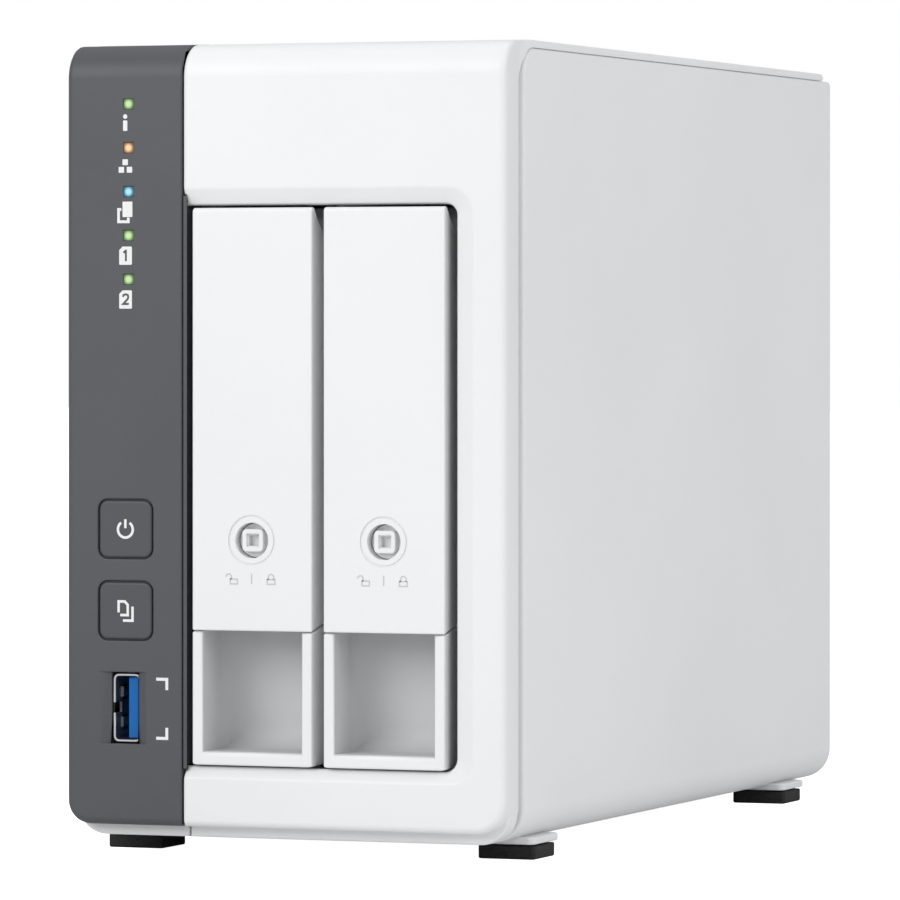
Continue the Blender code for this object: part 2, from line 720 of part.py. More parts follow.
def build_button(name, height):
    """A key with a flange behind the panel that keeps it in, and a stem that reaches the switch."""
    half = BUTTON_SIDE / 2
    face = square(PANEL_X, height, half, BUTTON_CORNER)
    button = slab(f"{name}_button", "depth", 0.0, 2.8, [face], DARK)
    flange = slab(f"{name}_flange", "depth", 2.5, 3.3, [square(PANEL_X, height, half + 0.8)])
    stem = cylinder(f"{name}_stem", (PANEL_X, height), 2.2, (3.0, 4.1), 12)
    join(button, flange, stem)
    set_origin(button, (PANEL_X, 0.0, height))
    switch = slab(f"{name}_switch", "depth", 6.0, 8.7, [square(PANEL_X, height, 3.0)], BLACK)
    join(switch, cylinder(f"{name}_plunger", (PANEL_X, height), 1.6, (5.2, 7.0), 12))


def build_light_pipes():
    """A clear bar behind the panel with a square prong out to each light's window."""
    heights = light_heights()
    low, high = heights[LED_COUNT] - 2.5, heights[1] + 2.5
    pipes = box("light_pipes", (LED_X - 2.0, 4.5, low), (LED_X + 2.0, 6.5, high), CLEAR)
    for number, height in heights.items():
        prong = square(LED_X, height, (LED_SIDE - GAP) / 2)
        join(pipes, slab(f"light_prong_{number}", "depth", 0.05, 5.0, [prong]))


def build_usb_port(shell_name, tongue_name, height, mouth, inwards):
    """An upright USB socket: a steel shell round a plastic tongue. inwards is 1 when it faces the front."""

    def room(clear, left=-1):
        wide, tall = USB_HALF[0] - clear, USB_HALF[1] - clear
        return rectangle(USB_X + left * wide, height - tall, USB_X + wide, height + tall)

    def span(start, end):
        return sorted((mouth + inwards * start, mouth + inwards * end))

    slab(shell_name, "depth", *span(0.0, 17.0), [room(0.0), room(USB_SHEET)], STEEL)
    clear = USB_SHEET + GAP
    core = slab(tongue_name, "depth", *span(12.0, 16.8), [room(clear)], BLUE if inwards > 0 else BLACK)
    join(core, slab(f"{tongue_name}_blade", "depth", *span(1.0, 13.0), [room(clear, 0.12)]))


# ---------------------------------------------------------------- electronics


def build_boards():
    board = box("mainboard", (BOARD_LEFT, 18.0, 12.0), (BOARD_FACE, 193.0, 150.0), GREEN)
    fittings = {
        "reset_switch": ((BOARD_FACE - 0.5, 183.0, RESET_Z - 3.0), (DC_X + 2.0, 187.0, RESET_Z + 3.0)),
        "memory_a": ((BOARD_FACE - 0.5, 84.0, 112.0), (BOARD_FACE + 1.2, 96.0, 124.0)),
        "memory_b": ((BOARD_FACE - 0.5, 102.0, 112.0), (BOARD_FACE + 1.2, 114.0, 124.0)),
        "coil": ((BOARD_FACE - 0.5, 150.0, 22.0), (BOARD_FACE + 5.0, 162.0, 34.0)),
        "front_plug": ((BOARD_FACE - 0.5, 24.0, 100.0), (BOARD_FACE + 5.5, 30.0, 130.0)),
    }
    for name, (low, high) in fittings.items():
        join(board, box(name, low, high))
    box("processor", (BOARD_FACE + GAP, 88.0, 72.0), (BOARD_FACE + 1.5, 106.0, 90.0), BLACK)
    build_heat_sink()
    box("front_panel_board", (-42.0, 9.0, 38.0), (-23.2, 10.6, 149.0), GREEN)
    front, back = BACKPLANE_DEPTH, BACKPLANE_DEPTH + BOARD_THICKNESS
    face = [rectangle(-21.0, 20.0, 34.5, 72.0, 2.0), circle(BAY_MIDDLE, 60.0, 5.0, 16)]
    backplane = slab("backplane_board", "depth", front, back, face, GREEN)
    join(backplane, box("edge_contacts", (-33.4, front, 44.0), (-20.0, back, 66.0)))
    slot = box("backplane_slot", (BOARD_FACE + GAP, front - 2.7, 40.0), (-30.4, back + 2.7, 70.0), BLACK)
    cut(slot, box("slot_room", (-33.8, front - 0.4, 43.0), (-29.0, back + 0.5, 67.0)))
    for number, centre in bay_centres().items():
        low_corner = (centre - 9.0, front - 4.4, 26.0)
        box(f"sata_socket_{number}", low_corner, (centre - 3.0, front - GAP, 64.0), BLACK)


def build_heat_sink():
    """A comb of upright fins on a base that sits on the processor."""
    base_x, fin_x = BOARD_FACE + 1.8, -24.2
    start, pitch, fin = 78.0, 5.4, 1.6
    comb = [(start, base_x)]
    fins = 8
    for index in range(fins):
        left = start + index * pitch
        comb += [(left, fin_x), (left + fin, fin_x)]
        if index < fins - 1:
            comb += [(left + fin, base_x + 1.8), (left + pitch, base_x + 1.8)]
    comb.append((start + (fins - 1) * pitch + fin, base_x))
    corners = [Vector((x, depth)) for depth, x in comb]
    slab("heat_sink", "z", 62.0, 100.0, [corners], CAST)


def build_lan_jack(number, height):
    """A network socket: a square room for the plug with a narrower step for its latch on the left."""
    low_corner = (BOARD_FACE + GAP, 177.0, height - LAN_HALF)
    jack = box(f"lan_jack_{number}", low_corner, (LAN_RIGHT, REAR_BACK + 0.5, height + LAN_HALF), STEEL)
    plug = rectangle(-33.0, height - 5.9, LAN_RIGHT - 2.5, height + 5.9)
    latch = rectangle(-35.0, height - 3.1, -32.0, height + 3.1)
    for room_name, corners in (("plug", plug), ("latch", latch)):
        cut(jack, slab(f"lan_{room_name}_room_{number}", "depth", 184.0, 200.0, [corners]))


def build_power_inlet():
    """The barrel socket for the power lead, with its centre pin."""
    low_corner = (BOARD_FACE + GAP, 183.0, DC_Z - 5.5)
    jack = box("dc_jack", low_corner, (DC_X + 4.9, REAR_FRONT - GAP, DC_Z + 5.5), BLACK)
    join(jack, cylinder("dc_nose", (DC_X, DC_Z), DC_NOSE, (190.0, REAR_BACK + 0.4), 16))
    cut(jack, cylinder("dc_bore", (DC_X, DC_Z), 3.2, (187.0, 200.0), 16))
    pin = [(0.0, 0.0), (0.6, 0.0), (1.0, 0.8), (1.0, 9.0), (0.0, 9.0)]
    turned("dc_jack_pin", pin, (DC_X, 196.6, DC_Z), STEEL)


def build_reset_button():
    button = cylinder("reset_button", (DC_X, RESET_Z), RESET_RADIUS, (188.1, REAR_BACK - 0.6), 10, BLACK)
    join(button, cylinder("reset_collar", (DC_X, RESET_Z), 2.0, (188.1, 190.0), 10))
    set_origin(button, (DC_X, REAR_BACK, RESET_Z))


# ---------------------------------------------------------------- fan and screws


def build_fan():
    x, z = FAN_CENTRE
    half = FAN_SIDE / 2
    face = [square(x, z, half, 3.0), circle(x, z, FAN_HOLE_RADIUS, 36)]
    face += [circle(cx, cz, 2.0, 10) for cx, cz in fan_screw_centres()]
    frame = slab("fan_frame", "depth", FAN_FRONT, FAN_BACK, face, BLACK)
    strut_back = FAN_FRONT + 2.5
    join(frame, cylinder("fan_motor_plate", FAN_CENTRE, 13.0, (FAN_FRONT, strut_back), 24))
    for index in range(3):
        tip = (x + 1.6, strut_back, z + half - 1.0)
        strut = box(f"fan_strut_{index}", (x - 1.6, FAN_FRONT, z + 10.0), tip)
        turn = Matrix.Rotation(math.radians(30 + 120 * index), 4, "Y")
        middle = place(x, 0.0, z)
        strut.data.transform(Matrix.Translation(middle) @ turn @ Matrix.Translation(-middle))
        join(frame, strut)
    build_rotor()


def build_rotor():
    hub_depths = (FAN_FRONT + 3.2, FAN_BACK - 1.2)
    rotor = cylinder("fan_rotor", FAN_CENTRE, 12.5, hub_depths, 24, BLACK)
    shape = bmesh.new()
    blades = 7
    for index in range(blades):
        add_blade(shape, 2 * math.pi * index / blades, sum(hub_depths) / 2)
    join(rotor, add_object("fan_blades", mesh_from(shape, "fan_blades")))
    set_origin(rotor, (FAN_CENTRE[0], sum(hub_depths) / 2, FAN_CENTRE[1]))


def add_blade(shape, angle, middle):
    """One twisted blade: its pitch falls from root to tip."""
    half_thickness = 0.55
    rings = []
    for radius, half_chord, pitch in ((11.5, 7.6, 52.0), (19.0, 8.6, 40.0), (27.4, 9.4, 31.0)):
        along = math.radians(pitch)
        ring = []
        for run, lift in ((-1, -1), (1, -1), (1, 1), (-1, 1)):
            across = run * half_chord * math.cos(along) - lift * half_thickness * math.sin(along)
            back = run * half_chord * math.sin(along) + lift * half_thickness * math.cos(along)
            turn = angle + across / radius
            x, z = FAN_CENTRE[0] + radius * math.sin(turn), FAN_CENTRE[1] + radius * math.cos(turn)
            ring.append(shape.verts.new(place(x, middle + back, z)))
        rings.append(ring)
    loft(shape, rings)


def build_screws():
    head = 2.8
    for index, (x, z) in enumerate(fan_screw_centres()):
        profile = [(0.0, 0.0), (1.9, 0.0), (head, 0.7), (head, 1.5), (1.5, 1.5), (1.5, 12.0), (0.0, 12.0)]
        turned(f"fan_screw_{index + 1}", profile, (x, REAR_BACK + GAP + 1.5, z), STEEL)
    for index, (x, z) in enumerate(case_screw_centres()):
        profile = [(0.0, 0.0), (1.6, 0.0), (2.1, 0.6), (2.1, 1.3), (1.3, 1.3), (1.3, 9.0), (0.0, 9.0)]
        turned(f"case_screw_{index + 1}", profile, (x, REAR_BACK + GAP + 1.3, z), STEEL)


def main():
    clear_scene()
    section = enclosure_section()
    build_front_top_cover(section)
    build_control_panel(section)
    build_side_cover("left_cover", -1)
    build_side_cover("right_cover", 1)
    build_feet()
    build_rear_panel()
    build_drive_cage()
    for number, centre in bay_centres().items():
        build_tray(number, centre)
        build_handle(number, centre)
        build_lock(number, centre)
        build_drive(number, centre)
    for name, height in BUTTON_HEIGHTS.items():
        build_button(name, height)
    build_light_pipes()
    build_usb_port("front_usb_shell", "front_usb_tongue", FRONT_USB_Z, 0.8, 1)
    for number, height in enumerate(REAR_USB_HEIGHTS, 1):
        build_usb_port(f"rear_usb_shell_{number}", f"rear_usb_tongue_{number}", height, REAR_BACK + 0.3, -1)
    build_boards()
    for number, height in enumerate(LAN_HEIGHTS, 1):
        build_lan_jack(number, height)
    build_power_inlet()
    build_reset_button()
    build_fan()
    build_screws()


main()
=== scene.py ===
"""The looks of a two-bay network storage box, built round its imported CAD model.

Lengths are millimetres here. x runs to the right, depth runs back from the front face and z runs up from the
floor. place() turns a point into Blender's metres. Most sizes come from the CAD nodes' own boxes.
"""

import math
from collections import namedtuple

import bmesh
import bpy
from mathutils import Matrix, Vector


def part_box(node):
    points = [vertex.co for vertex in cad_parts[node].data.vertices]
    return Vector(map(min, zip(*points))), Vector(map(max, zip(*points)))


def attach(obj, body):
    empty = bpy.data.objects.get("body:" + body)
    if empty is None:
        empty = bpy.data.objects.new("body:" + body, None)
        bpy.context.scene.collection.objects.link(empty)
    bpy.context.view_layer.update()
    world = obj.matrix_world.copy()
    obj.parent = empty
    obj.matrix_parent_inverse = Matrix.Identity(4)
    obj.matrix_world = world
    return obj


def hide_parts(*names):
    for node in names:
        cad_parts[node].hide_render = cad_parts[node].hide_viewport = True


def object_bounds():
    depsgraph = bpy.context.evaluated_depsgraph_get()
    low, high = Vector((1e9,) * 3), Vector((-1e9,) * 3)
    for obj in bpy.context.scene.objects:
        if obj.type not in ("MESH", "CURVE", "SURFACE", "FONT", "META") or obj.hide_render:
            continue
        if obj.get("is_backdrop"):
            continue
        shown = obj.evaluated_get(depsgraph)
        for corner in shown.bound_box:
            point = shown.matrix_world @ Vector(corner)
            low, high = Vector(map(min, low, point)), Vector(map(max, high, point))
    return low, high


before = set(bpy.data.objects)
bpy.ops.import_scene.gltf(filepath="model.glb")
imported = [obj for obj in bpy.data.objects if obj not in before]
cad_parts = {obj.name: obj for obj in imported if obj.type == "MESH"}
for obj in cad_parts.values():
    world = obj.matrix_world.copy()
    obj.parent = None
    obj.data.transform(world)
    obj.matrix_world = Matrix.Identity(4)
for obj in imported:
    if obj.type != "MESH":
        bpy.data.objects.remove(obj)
CAD_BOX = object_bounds()

MM = 0.001
FRONT = CAD_BOX[0].y
GAP = 0.3
WALL = 2.0
PRINT = 0.05
SHARP = math.radians(35)
Span = namedtuple("Span", "left right front back low high")


def place(x, depth, z):
    return Vector((x * MM, FRONT + depth * MM, z * MM))


def span(node):
    """A CAD node's box at rest."""
    low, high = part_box(node)
    depths = ((corner.y - FRONT) / MM for corner in (low, high))
    return Span(low.x / MM, high.x / MM, *depths, low.z / MM, high.z / MM)


def middle(node):
    """A CAD node's middle, seen from the front."""
    box = span(node)
    return (box.left + box.right) / 2, (box.low + box.high) / 2


PANEL = span("control_panel")
COVER = span("front_top_cover")
SIDE = span("right_cover")
REAR = span("rear_panel")
HALF = COVER.right
PAIR = (1, 2)
CASE_SCREWS = [f"case_screw_{index}" for index in range(1, 5)]
FAN_SCREWS = [f"fan_screw_{index}" for index in range(1, 5)]
FAN = middle("fan_frame")

# The enclosure's corners, roundings and seams, which its nodes' boxes don't give
SEAM = PANEL.right - 0.41
SIDE_LOW = 3.7
SIDE_CORNER = 6.5
BOTTOM_CORNERS = (4.5, 6.3)
CORNER_ZONE = (37.4, 13.5)
SEAM_GAP = 0.06
SEAM_VALLEY = 0.8
SEAM_DEPTH = 1.6
SIDE_FRONT = SIDE.front + 2.4
BEZEL_DEPTH = SIDE_FRONT - 2 * SEAM_VALLEY
BEZEL_TAPER = 0.6
BEZEL_PLATE = 2.2
TOP_PLATE = COVER.high - SIDE.high - SEAM_GAP
TOP_FILLET = 7.0
CROWN = 0.5
CROWN_BACK = 18.0
RIM = 1.4
TOP_RIM = 1.0
GROOVE = 0.6
TOP_GROOVE = 0.25
LIP_FRONT = 3.9
LIP_INSET = 0.75
LIP_WALL = 1.2

# The drive bay's right side, foot and top, and the slope round its mouth
BAY_SIDES = (34.5, 17.5, 124.42)
FLARE_MARGINS = (3.6, 4.4, 2.5)
FLARE_DEPTH = 2.3
FLARE_SLOPE = 1.9

# The trays' finger pockets, the levers' hinges and locks
POCKET_FLOOR = 20.4
POCKET_BACK = 13.5
FACE_BACK = 16.5
HINGE = (3.0, 117.0)
LOCK_Z = 60.7

# Keys, lights and the socket in the control panel
BUTTON_HALF = 5.45
BUTTON_CORNER = 1.7
LED_X = middle("light_pipes")[0]
LED_HALF = 0.98
LED_PITCH = 8.4
LED_HEIGHTS = [span("light_pipes").high - 2.5 - LED_PITCH * row for row in range(5)]
USB_X, USB_Z = middle("front_usb_shell")
DISH_HALF = 6.0
DISH_DEPTH = 0.75
PORT_LIP = 0.4
GREEN_LIGHT = ((0.6, 0.8, 0.44), (0.15, 0.29, 0.1))
AMBER_LIGHT = ((0.93, 0.68, 0.42), (0.38, 0.17, 0.06))
BLUE_LIGHT = ((0.44, 0.8, 0.93), (0.05, 0.23, 0.34))
LIGHTS = (GREEN_LIGHT, AMBER_LIGHT, BLUE_LIGHT, GREEN_LIGHT, GREEN_LIGHT)


# ---------------------------------------------------------------- shaping


def arc_steps(radius):
    return max(3, min(18, round(3 + 2.2 * radius)))


def outline(*corners, steps=None):
    """A closed outline through corners (u, v) or (u, v, radius), with each radius turned into an arc."""
    points = []
    for index, (u, v, *rounding) in enumerate(corners):
        here, radius = Vector((u, v)), sum(rounding)
        if radius == 0:
            points.append(here)
            continue
        back = (Vector(corners[index - 1][:2]) - here).normalized()
        ahead = (Vector(corners[(index + 1) % len(corners)][:2]) - here).normalized()
        half_angle = back.angle(ahead) / 2
        centre = here + (back + ahead).normalized() * radius / math.sin(half_angle)
        start = here + back * radius / math.tan(half_angle) - centre
        end = here + ahead * radius / math.tan(half_angle) - centre
        sweep = math.atan2(start.x * end.y - start.y * end.x, start.dot(end))
        count = steps or arc_steps(radius)
        for step in range(count + 1):
            points.append(centre + Matrix.Rotation(sweep * step / count, 2) @ start)
    return points


def trough(left, right, low, high, left_corner, right_corner):
    """An outline with square upper corners and rounded lower ones."""
    return outline((left, low, left_corner), (right, low, right_corner), (right, high), (left, high))


def rectangle(left, low, right, high, radius=0.0):
    corners = ((left, low), (right, low), (right, high), (left, high))
    return outline(*((u, v, radius) for u, v in corners))


def square(u, v, half, radius=0.0):
    return rectangle(u - half, v - half, u + half, v + half, radius)


def circle(u, v, radius, sides=40):
    turns = (2 * math.pi * step / sides for step in range(sides))
    return [Vector((u + radius * math.cos(turn), v + radius * math.sin(turn))) for turn in turns]


def ribbon(points, width):
    """The outline of a line of this width through the points."""
    points = [Vector(point) for point in points]
    left, right = [], []
    for index, here in enumerate(points):
        before = (here - points[index - 1]).normalized() if index else None
        after = (points[index + 1] - here).normalized() if index < len(points) - 1 else None
        before, after = before or after, after or before
        across = (before + after).normalized().orthogonal()
        reach = width / 2 / max(0.3, across.dot(before.orthogonal()))
        left.append(here + across * reach)
        right.append(here - across * reach)
    return left + right[::-1]


def arc(u, v, radius, start, end, steps=24):
    turns = (math.radians(start + (end - start) * step / steps) for step in range(steps + 1))
    return [(u + radius * math.cos(turn), v + radius * math.sin(turn)) for turn in turns]


def strokes(marks, x, z, width):
    """The outlines of lines through points that are given from the mark's middle."""
    return [ribbon([(x + u, z + v) for u, v in mark], width) for mark in marks]


def at(facing, u, v, level):
    """A point of an outline that faces x, depth or z, at this level along that direction."""
    if facing == "x":
        return place(level, u, v)
    return place(u, level, v) if facing == "depth" else place(u, v, level)


def new_object(shape, name="tool"):
    bmesh.ops.recalc_face_normals(shape, faces=shape.faces)
    mesh = bpy.data.meshes.new(name)
    shape.to_mesh(mesh)
    shape.free()
    made = bpy.data.objects.new(name, mesh)
    bpy.context.scene.collection.objects.link(made)
    return made


def loft(shape, rings):
    """Closes rings of points, one after the other, into a skin with an end cap at each end."""
    rings = [[shape.verts.new(point) for point in ring] for ring in rings]
    for near, far in zip(rings, rings[1:]):
        for index in range(len(near)):
            nearby = (index + 1) % len(near)
            shape.faces.new((near[index], near[nearby], far[nearby], far[index]))
    shape.faces.new(rings[0])
    shape.faces.new(rings[-1])


def slabs(facing, low, high, *outlines):
    """One object of flat outlines with the same thickness, which stand apart from each other."""
    shape = bmesh.new()
    for points in outlines:
        loft(shape, [[at(facing, *point, level) for point in points] for level in (low, high)])
    return new_object(shape)


def block(x_range, depth_range, z_range):
    corners = rectangle(x_range[0], z_range[0], x_range[1], z_range[1])
    return slabs("depth", *depth_range, corners)


def disc(centre, radius, depths, sides=40):
    return slabs("depth", *depths, circle(*centre, radius, sides))


def spun(centre, profile, sides=32):
    """A solid turned about an axis along the depth, from (radius, depth) pairs, and closed at both ends."""
    shape = bmesh.new()
    rings = ((circle(*centre, radius, sides), depth) for radius, depth in profile)
    loft(shape, [[place(point.x, depth, point.y) for point in ring] for ring, depth in rings])
    return new_object(shape)


def combine(target, operation, tools):
    for tool in tools:
        modifier = target.modifiers.new("boolean", "BOOLEAN")
        modifier.operation, modifier.object, modifier.solver = operation, tool, "EXACT"
        graph = bpy.context.evaluated_depsgraph_get()
        result = bpy.data.meshes.new_from_object(target.evaluated_get(graph))
        target.modifiers.remove(modifier)
        target.data = result
        bpy.data.objects.remove(tool)
    return target


def cut(target, *tools):
    return combine(target, "DIFFERENCE", tools)


def join(target, *tools):
    return combine(target, "UNION", tools)


def keep_within(target, *tools):
    return combine(target, "INTERSECT", tools)


def in_millimetres(point):
    return point.x / MM, (point.y - FRONT) / MM, point.z / MM


def soften(target, rule, segments=3):
    """Rounds the outward edges by one width, or by a rule's width at an edge's middle: 0 leaves it sharp."""
    shape = bmesh.new()
    shape.from_mesh(target.data)
    bmesh.ops.dissolve_degenerate(shape, dist=0.000002, edges=shape.edges)
    layers = shape.edges.layers.float
    weights = layers.get("bevel_weight_edge") or layers.new("bevel_weight_edge")
    widths = {}
    for edge in shape.edges:
        if len(edge.link_faces) == 2 and edge.calc_face_angle_signed(0.0) > SHARP:
            middle = (edge.verts[0].co + edge.verts[1].co) / 2
            widths[edge] = rule(*in_millimetres(middle)) if callable(rule) else rule
    widest = max(widths.values(), default=0.0)
    for edge in shape.edges:
        edge[weights] = widths.get(edge, 0.0) / widest if widest else 0.0
    shape.to_mesh(target.data)
    shape.free()
    if widest:
        modifier = target.modifiers.new("rounded edges", "BEVEL")
        modifier.limit_method, modifier.width, modifier.segments = "WEIGHT", widest * MM, segments
        modifier.use_clamp_overlap = False
    return target


def bake(target):
    """Makes the modifiers part of the mesh."""
    graph = bpy.context.evaluated_depsgraph_get()
    result = bpy.data.meshes.new_from_object(target.evaluated_get(graph))
    target.modifiers.clear()
    target.data = result
    return target


def smooth(target):
    target.data.shade_smooth()
    target.data.set_sharp_from_angle(angle=SHARP)
    modifier = target.modifiers.new("even shading", "WEIGHTED_NORMAL")
    modifier.keep_sharp, modifier.weight = True, 100


def piece(target, name, body, slot, finishes, *nodes):
    """Names a piece, gives it its finishes and lets it stand for its CAD nodes on their body."""
    target.name = target.data.name = name
    target.data.materials.clear()
    for finish in finishes:
        target.data.materials.append(finish)
    smooth(target)
    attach(target, body)
    if nodes:
        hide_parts(*nodes)
    return target


def paint(target, index, test):
    """Gives the faces whose middle passes the test the finish of that index."""
    for face in target.data.polygons:
        if test(*in_millimetres(face.center)):
            face.material_index = index


# ---------------------------------------------------------------- finishes


def add_node(tree, kind, inputs, **settings):
    """Adds a node whose inputs are values or other nodes' outputs."""
    node = tree.nodes.new("ShaderNode" + kind)
    for setting, value in settings.items():
        setattr(node, setting, value)
    for socket, value in inputs.items():
        if isinstance(value, bpy.types.NodeSocket):
            tree.links.new(value, node.inputs[socket])
        else:
            node.inputs[socket].default_value = value
    return node


class Finish:
    """A material being built from nodes, with patterns in the part's own coordinates."""

    def __init__(self, name, **settings):
        self.made = bpy.data.materials.new(name)
        self.made.use_nodes = True
        self.tree = self.made.node_tree
        self.shader = self.tree.nodes["Principled BSDF"]
        for socket, value in settings.items():
            self.shader.inputs[socket.replace("_", " ").title().replace("Ior", "IOR")].default_value = value
        self.spots = self.add("TexCoord", {}).outputs["Object"]

    def add(self, kind, inputs, **settings):
        return add_node(self.tree, kind, inputs, **settings)

    def noise(self, scale, detail=2.0, stretch=(1.0, 1.0, 1.0)):
        mapping = self.add("Mapping", {"Vector": self.spots, "Scale": stretch})
        node = self.add("TexNoise", {"Vector": mapping.outputs[0], "Scale": scale, "Detail": detail})
        return node.outputs[0]

    def colours(self, factor, *stops):
        ramp = self.add("ValToRGB", {"Fac": factor})
        elements = ramp.color_ramp.elements
        while len(elements) < len(stops):
            elements.new(0.5)
        for element, (position, colour) in zip(elements, stops):
            element.position, element.color = position, (*colour, 1.0)
        return ramp.outputs["Color"]

    def levels(self, factor, low, high):
        ends = {"From Min": 0.3, "From Max": 0.7, "To Min": low, "To Max": high}
        return self.add("MapRange", {"Value": factor, **ends}).outputs["Result"]

    def set(self, socket, output):
        self.tree.links.new(output, self.shader.inputs[socket])

    def bump(self, height, strength, distance):
        node = self.add("Bump", {"Strength": strength, "Distance": distance * MM, "Height": height})
        self.set("Normal", node.outputs["Normal"])


def shade(colour, amount):
    return tuple(min(1.0, channel * amount) for channel in colour)


def surface(name, tones, tone_noise, gloss, gloss_noise, relief, relief_noise, **settings):
    """A finish whose tone, gloss and relief each follow a noise of this scale and detail."""
    made = Finish(name, **settings)
    made.set("Base Color", made.colours(made.noise(*tone_noise), (0.3, tones[0]), (0.7, tones[1])))
    made.set("Roughness", made.levels(made.noise(*gloss_noise), *gloss))
    made.bump(made.noise(*relief_noise), *relief)
    return made.made


def moulded(name, colour, roughness, grain=2600.0, depth=0.03, variation=0.02, **settings):
    """Moulded plastic: a fine spark-eroded grain, slow drifts of tone and slightly uneven gloss."""
    tones = (shade(colour, 1 - variation), shade(colour, 1 + variation))
    gloss = (roughness - 0.04, roughness + 0.04)
    return surface(name, tones, (14.0, 3.0), gloss, (70.0, 4.0), (0.5, depth), (grain, 3.0), **settings)


def plated(name, colour, roughness, stretch):
    """Plated metal with fine drawing marks along one direction and dull blotches."""
    tones, gloss = (shade(colour, 0.9), colour), (roughness - 0.07, roughness + 0.08)
    marks = (900.0, 4.0, stretch)
    return surface(name, tones, (60.0, 4.0), gloss, marks, (0.25, 0.02), marks, metallic=1.0)


def make_rubber():
    tones, speck = ((0.013, 0.013, 0.014), (0.024, 0.024, 0.025)), (1800.0, 4.0)
    gloss, relief = (0.62, 0.78), (0.6, 0.05)
    return surface("black_rubber", tones, speck, gloss, (60.0,), relief, speck, specular_ior_level=0.3)


def make_painted_steel(colour=(0.75, 0.76, 0.77)):
    """Powder coat on sheet steel, with its orange peel."""
    tones, gloss, relief = (shade(colour, 0.97), shade(colour, 1.02)), (0.42, 0.52), (0.5, 0.06)
    coat = {"coat_weight": 0.15, "coat_roughness": 0.3}
    return surface("painted_steel", tones, (22.0, 4.0), gloss, (240.0, 2.0), relief, (1100.0, 1.0), **coat)


def make_cast_aluminium():
    tones, pits = ((0.42, 0.43, 0.45), (0.52, 0.53, 0.55)), (950.0, 5.0)
    return surface("cast_aluminium", tones, (45.0, 4.0), (0.4, 0.56), pits, (0.5, 0.05), pits, metallic=0.85)


def make_circuit_board():
    """Solder mask over copper, with lighter tracks in courses."""
    made = Finish("circuit_board", specular_ior_level=0.6)
    turned = made.add("Mapping", {"Vector": made.spots, "Rotation": (0.0, math.pi / 2, 0.0)})
    tracks = made.add("TexBrick", {
        "Vector": turned.outputs[0], "Scale": 1.0,
        "Mortar Size": 0.00022, "Brick Width": 0.0062, "Row Height": 0.0017,
        "Color1": (0.006, 0.058, 0.034, 1.0), "Color2": (0.009, 0.075, 0.042, 1.0),
        "Mortar": (0.03, 0.16, 0.085, 1.0),
    })
    made.set("Base Color", tracks.outputs["Color"])
    made.set("Roughness", made.levels(made.noise(300.0), 0.3, 0.42))
    made.bump(tracks.outputs["Fac"], 0.4, 0.04)
    return made.made


def make_label():
    """A satin foil label with plain pale bands."""
    made = Finish("drive_label", metallic=0.2)
    wave = made.add("TexWave", {"Vector": made.spots, "Scale": 12.0}, bands_direction="Z", wave_profile="SIN")
    bands = ((0.1, (0.72, 0.74, 0.76)), (0.2, (0.82, 0.83, 0.84)))
    made.set("Base Color", made.colours(wave.outputs[1], *bands))
    made.set("Roughness", made.levels(made.noise(500.0), 0.36, 0.46))
    return made.made


def make_lens(name, centre, pale, deep):
    """A lit window: pale in the middle, where the lamp is, and deeper in colour towards its edge."""
    made = Finish(name, roughness=0.35, specular_ior_level=0.2, emission_strength=1.0)
    away = made.add("VectorMath", {0: made.spots, 1: centre}, operation="DISTANCE")
    reach = made.add("Math", {0: away.outputs["Value"], 1: 1.15 * MM}, operation="DIVIDE")
    stops = ((0.36, pale), (0.78, deep), (0.97, shade(deep, 0.5)))
    made.set("Emission Color", made.colours(reach.outputs[0], *stops))
    made.set("Base Color", made.colours(made.noise(900.0), (0.3, shade(deep, 0.1)), (0.7, shade(deep, 0.2))))
    return made.made


WHITE = moulded("white_plastic", (0.8, 0.805, 0.81), 0.46)
# The trays' pocket finish: a coarser grain, and a darker tone that is painted shade for the pocket's recess
TEXTURED_PAINTED_SHADE = moulded("textured_white_plastic_painted_shade", (0.6, 0.605, 0.61), 0.62, grain=1500.0, depth=0.06)
DARK = moulded("dark_plastic", (0.07, 0.072, 0.08), 0.5, depth=0.035, variation=0.05)
BUTTON = moulded("button_plastic", (0.063, 0.065, 0.073), 0.48, depth=0.03, variation=0.05)
BLACK = moulded("black_plastic", (0.018, 0.018, 0.019), 0.42, variation=0.15)
BLUE = moulded("blue_plastic", (0.002, 0.13, 0.44), 0.42, variation=0.1, specular_ior_level=0.25)
PRINTED = moulded("white_print", (0.8, 0.8, 0.81), 0.6, grain=4000.0, depth=0.01)
GREY_PRINT = moulded("grey_print", (0.56, 0.565, 0.575), 0.6, grain=4000.0, depth=0.01)
CLEAR = moulded("clear_plastic", (0.72, 0.76, 0.76), 0.16, variation=0.05, transmission_weight=0.75, ior=1.49)
RUBBER = make_rubber()
PAINTED = make_painted_steel()
PLATED = plated("plated_steel", (0.55, 0.55, 0.56), 0.34, (1.0, 1.0, 8.0))
TURNED = plated("turned_steel", (0.5, 0.5, 0.51), 0.27, (1.0, 6.0, 1.0))
GILT = plated("gilt_contacts", (0.83, 0.6, 0.24), 0.25, (1.0, 8.0, 1.0))
CAST = make_cast_aluminium()
BOARD = make_circuit_board()
LABEL = make_label()


# ---------------------------------------------------------------- enclosure


def enclosure_section():
    """The front caps and the top all stay inside this outline, seen from the front."""
    section = trough(-HALF, HALF, COVER.low, COVER.high + 1.0, *BOTTOM_CORNERS)
    return slabs("depth", -1.0, REAR.back + 1.0, section)


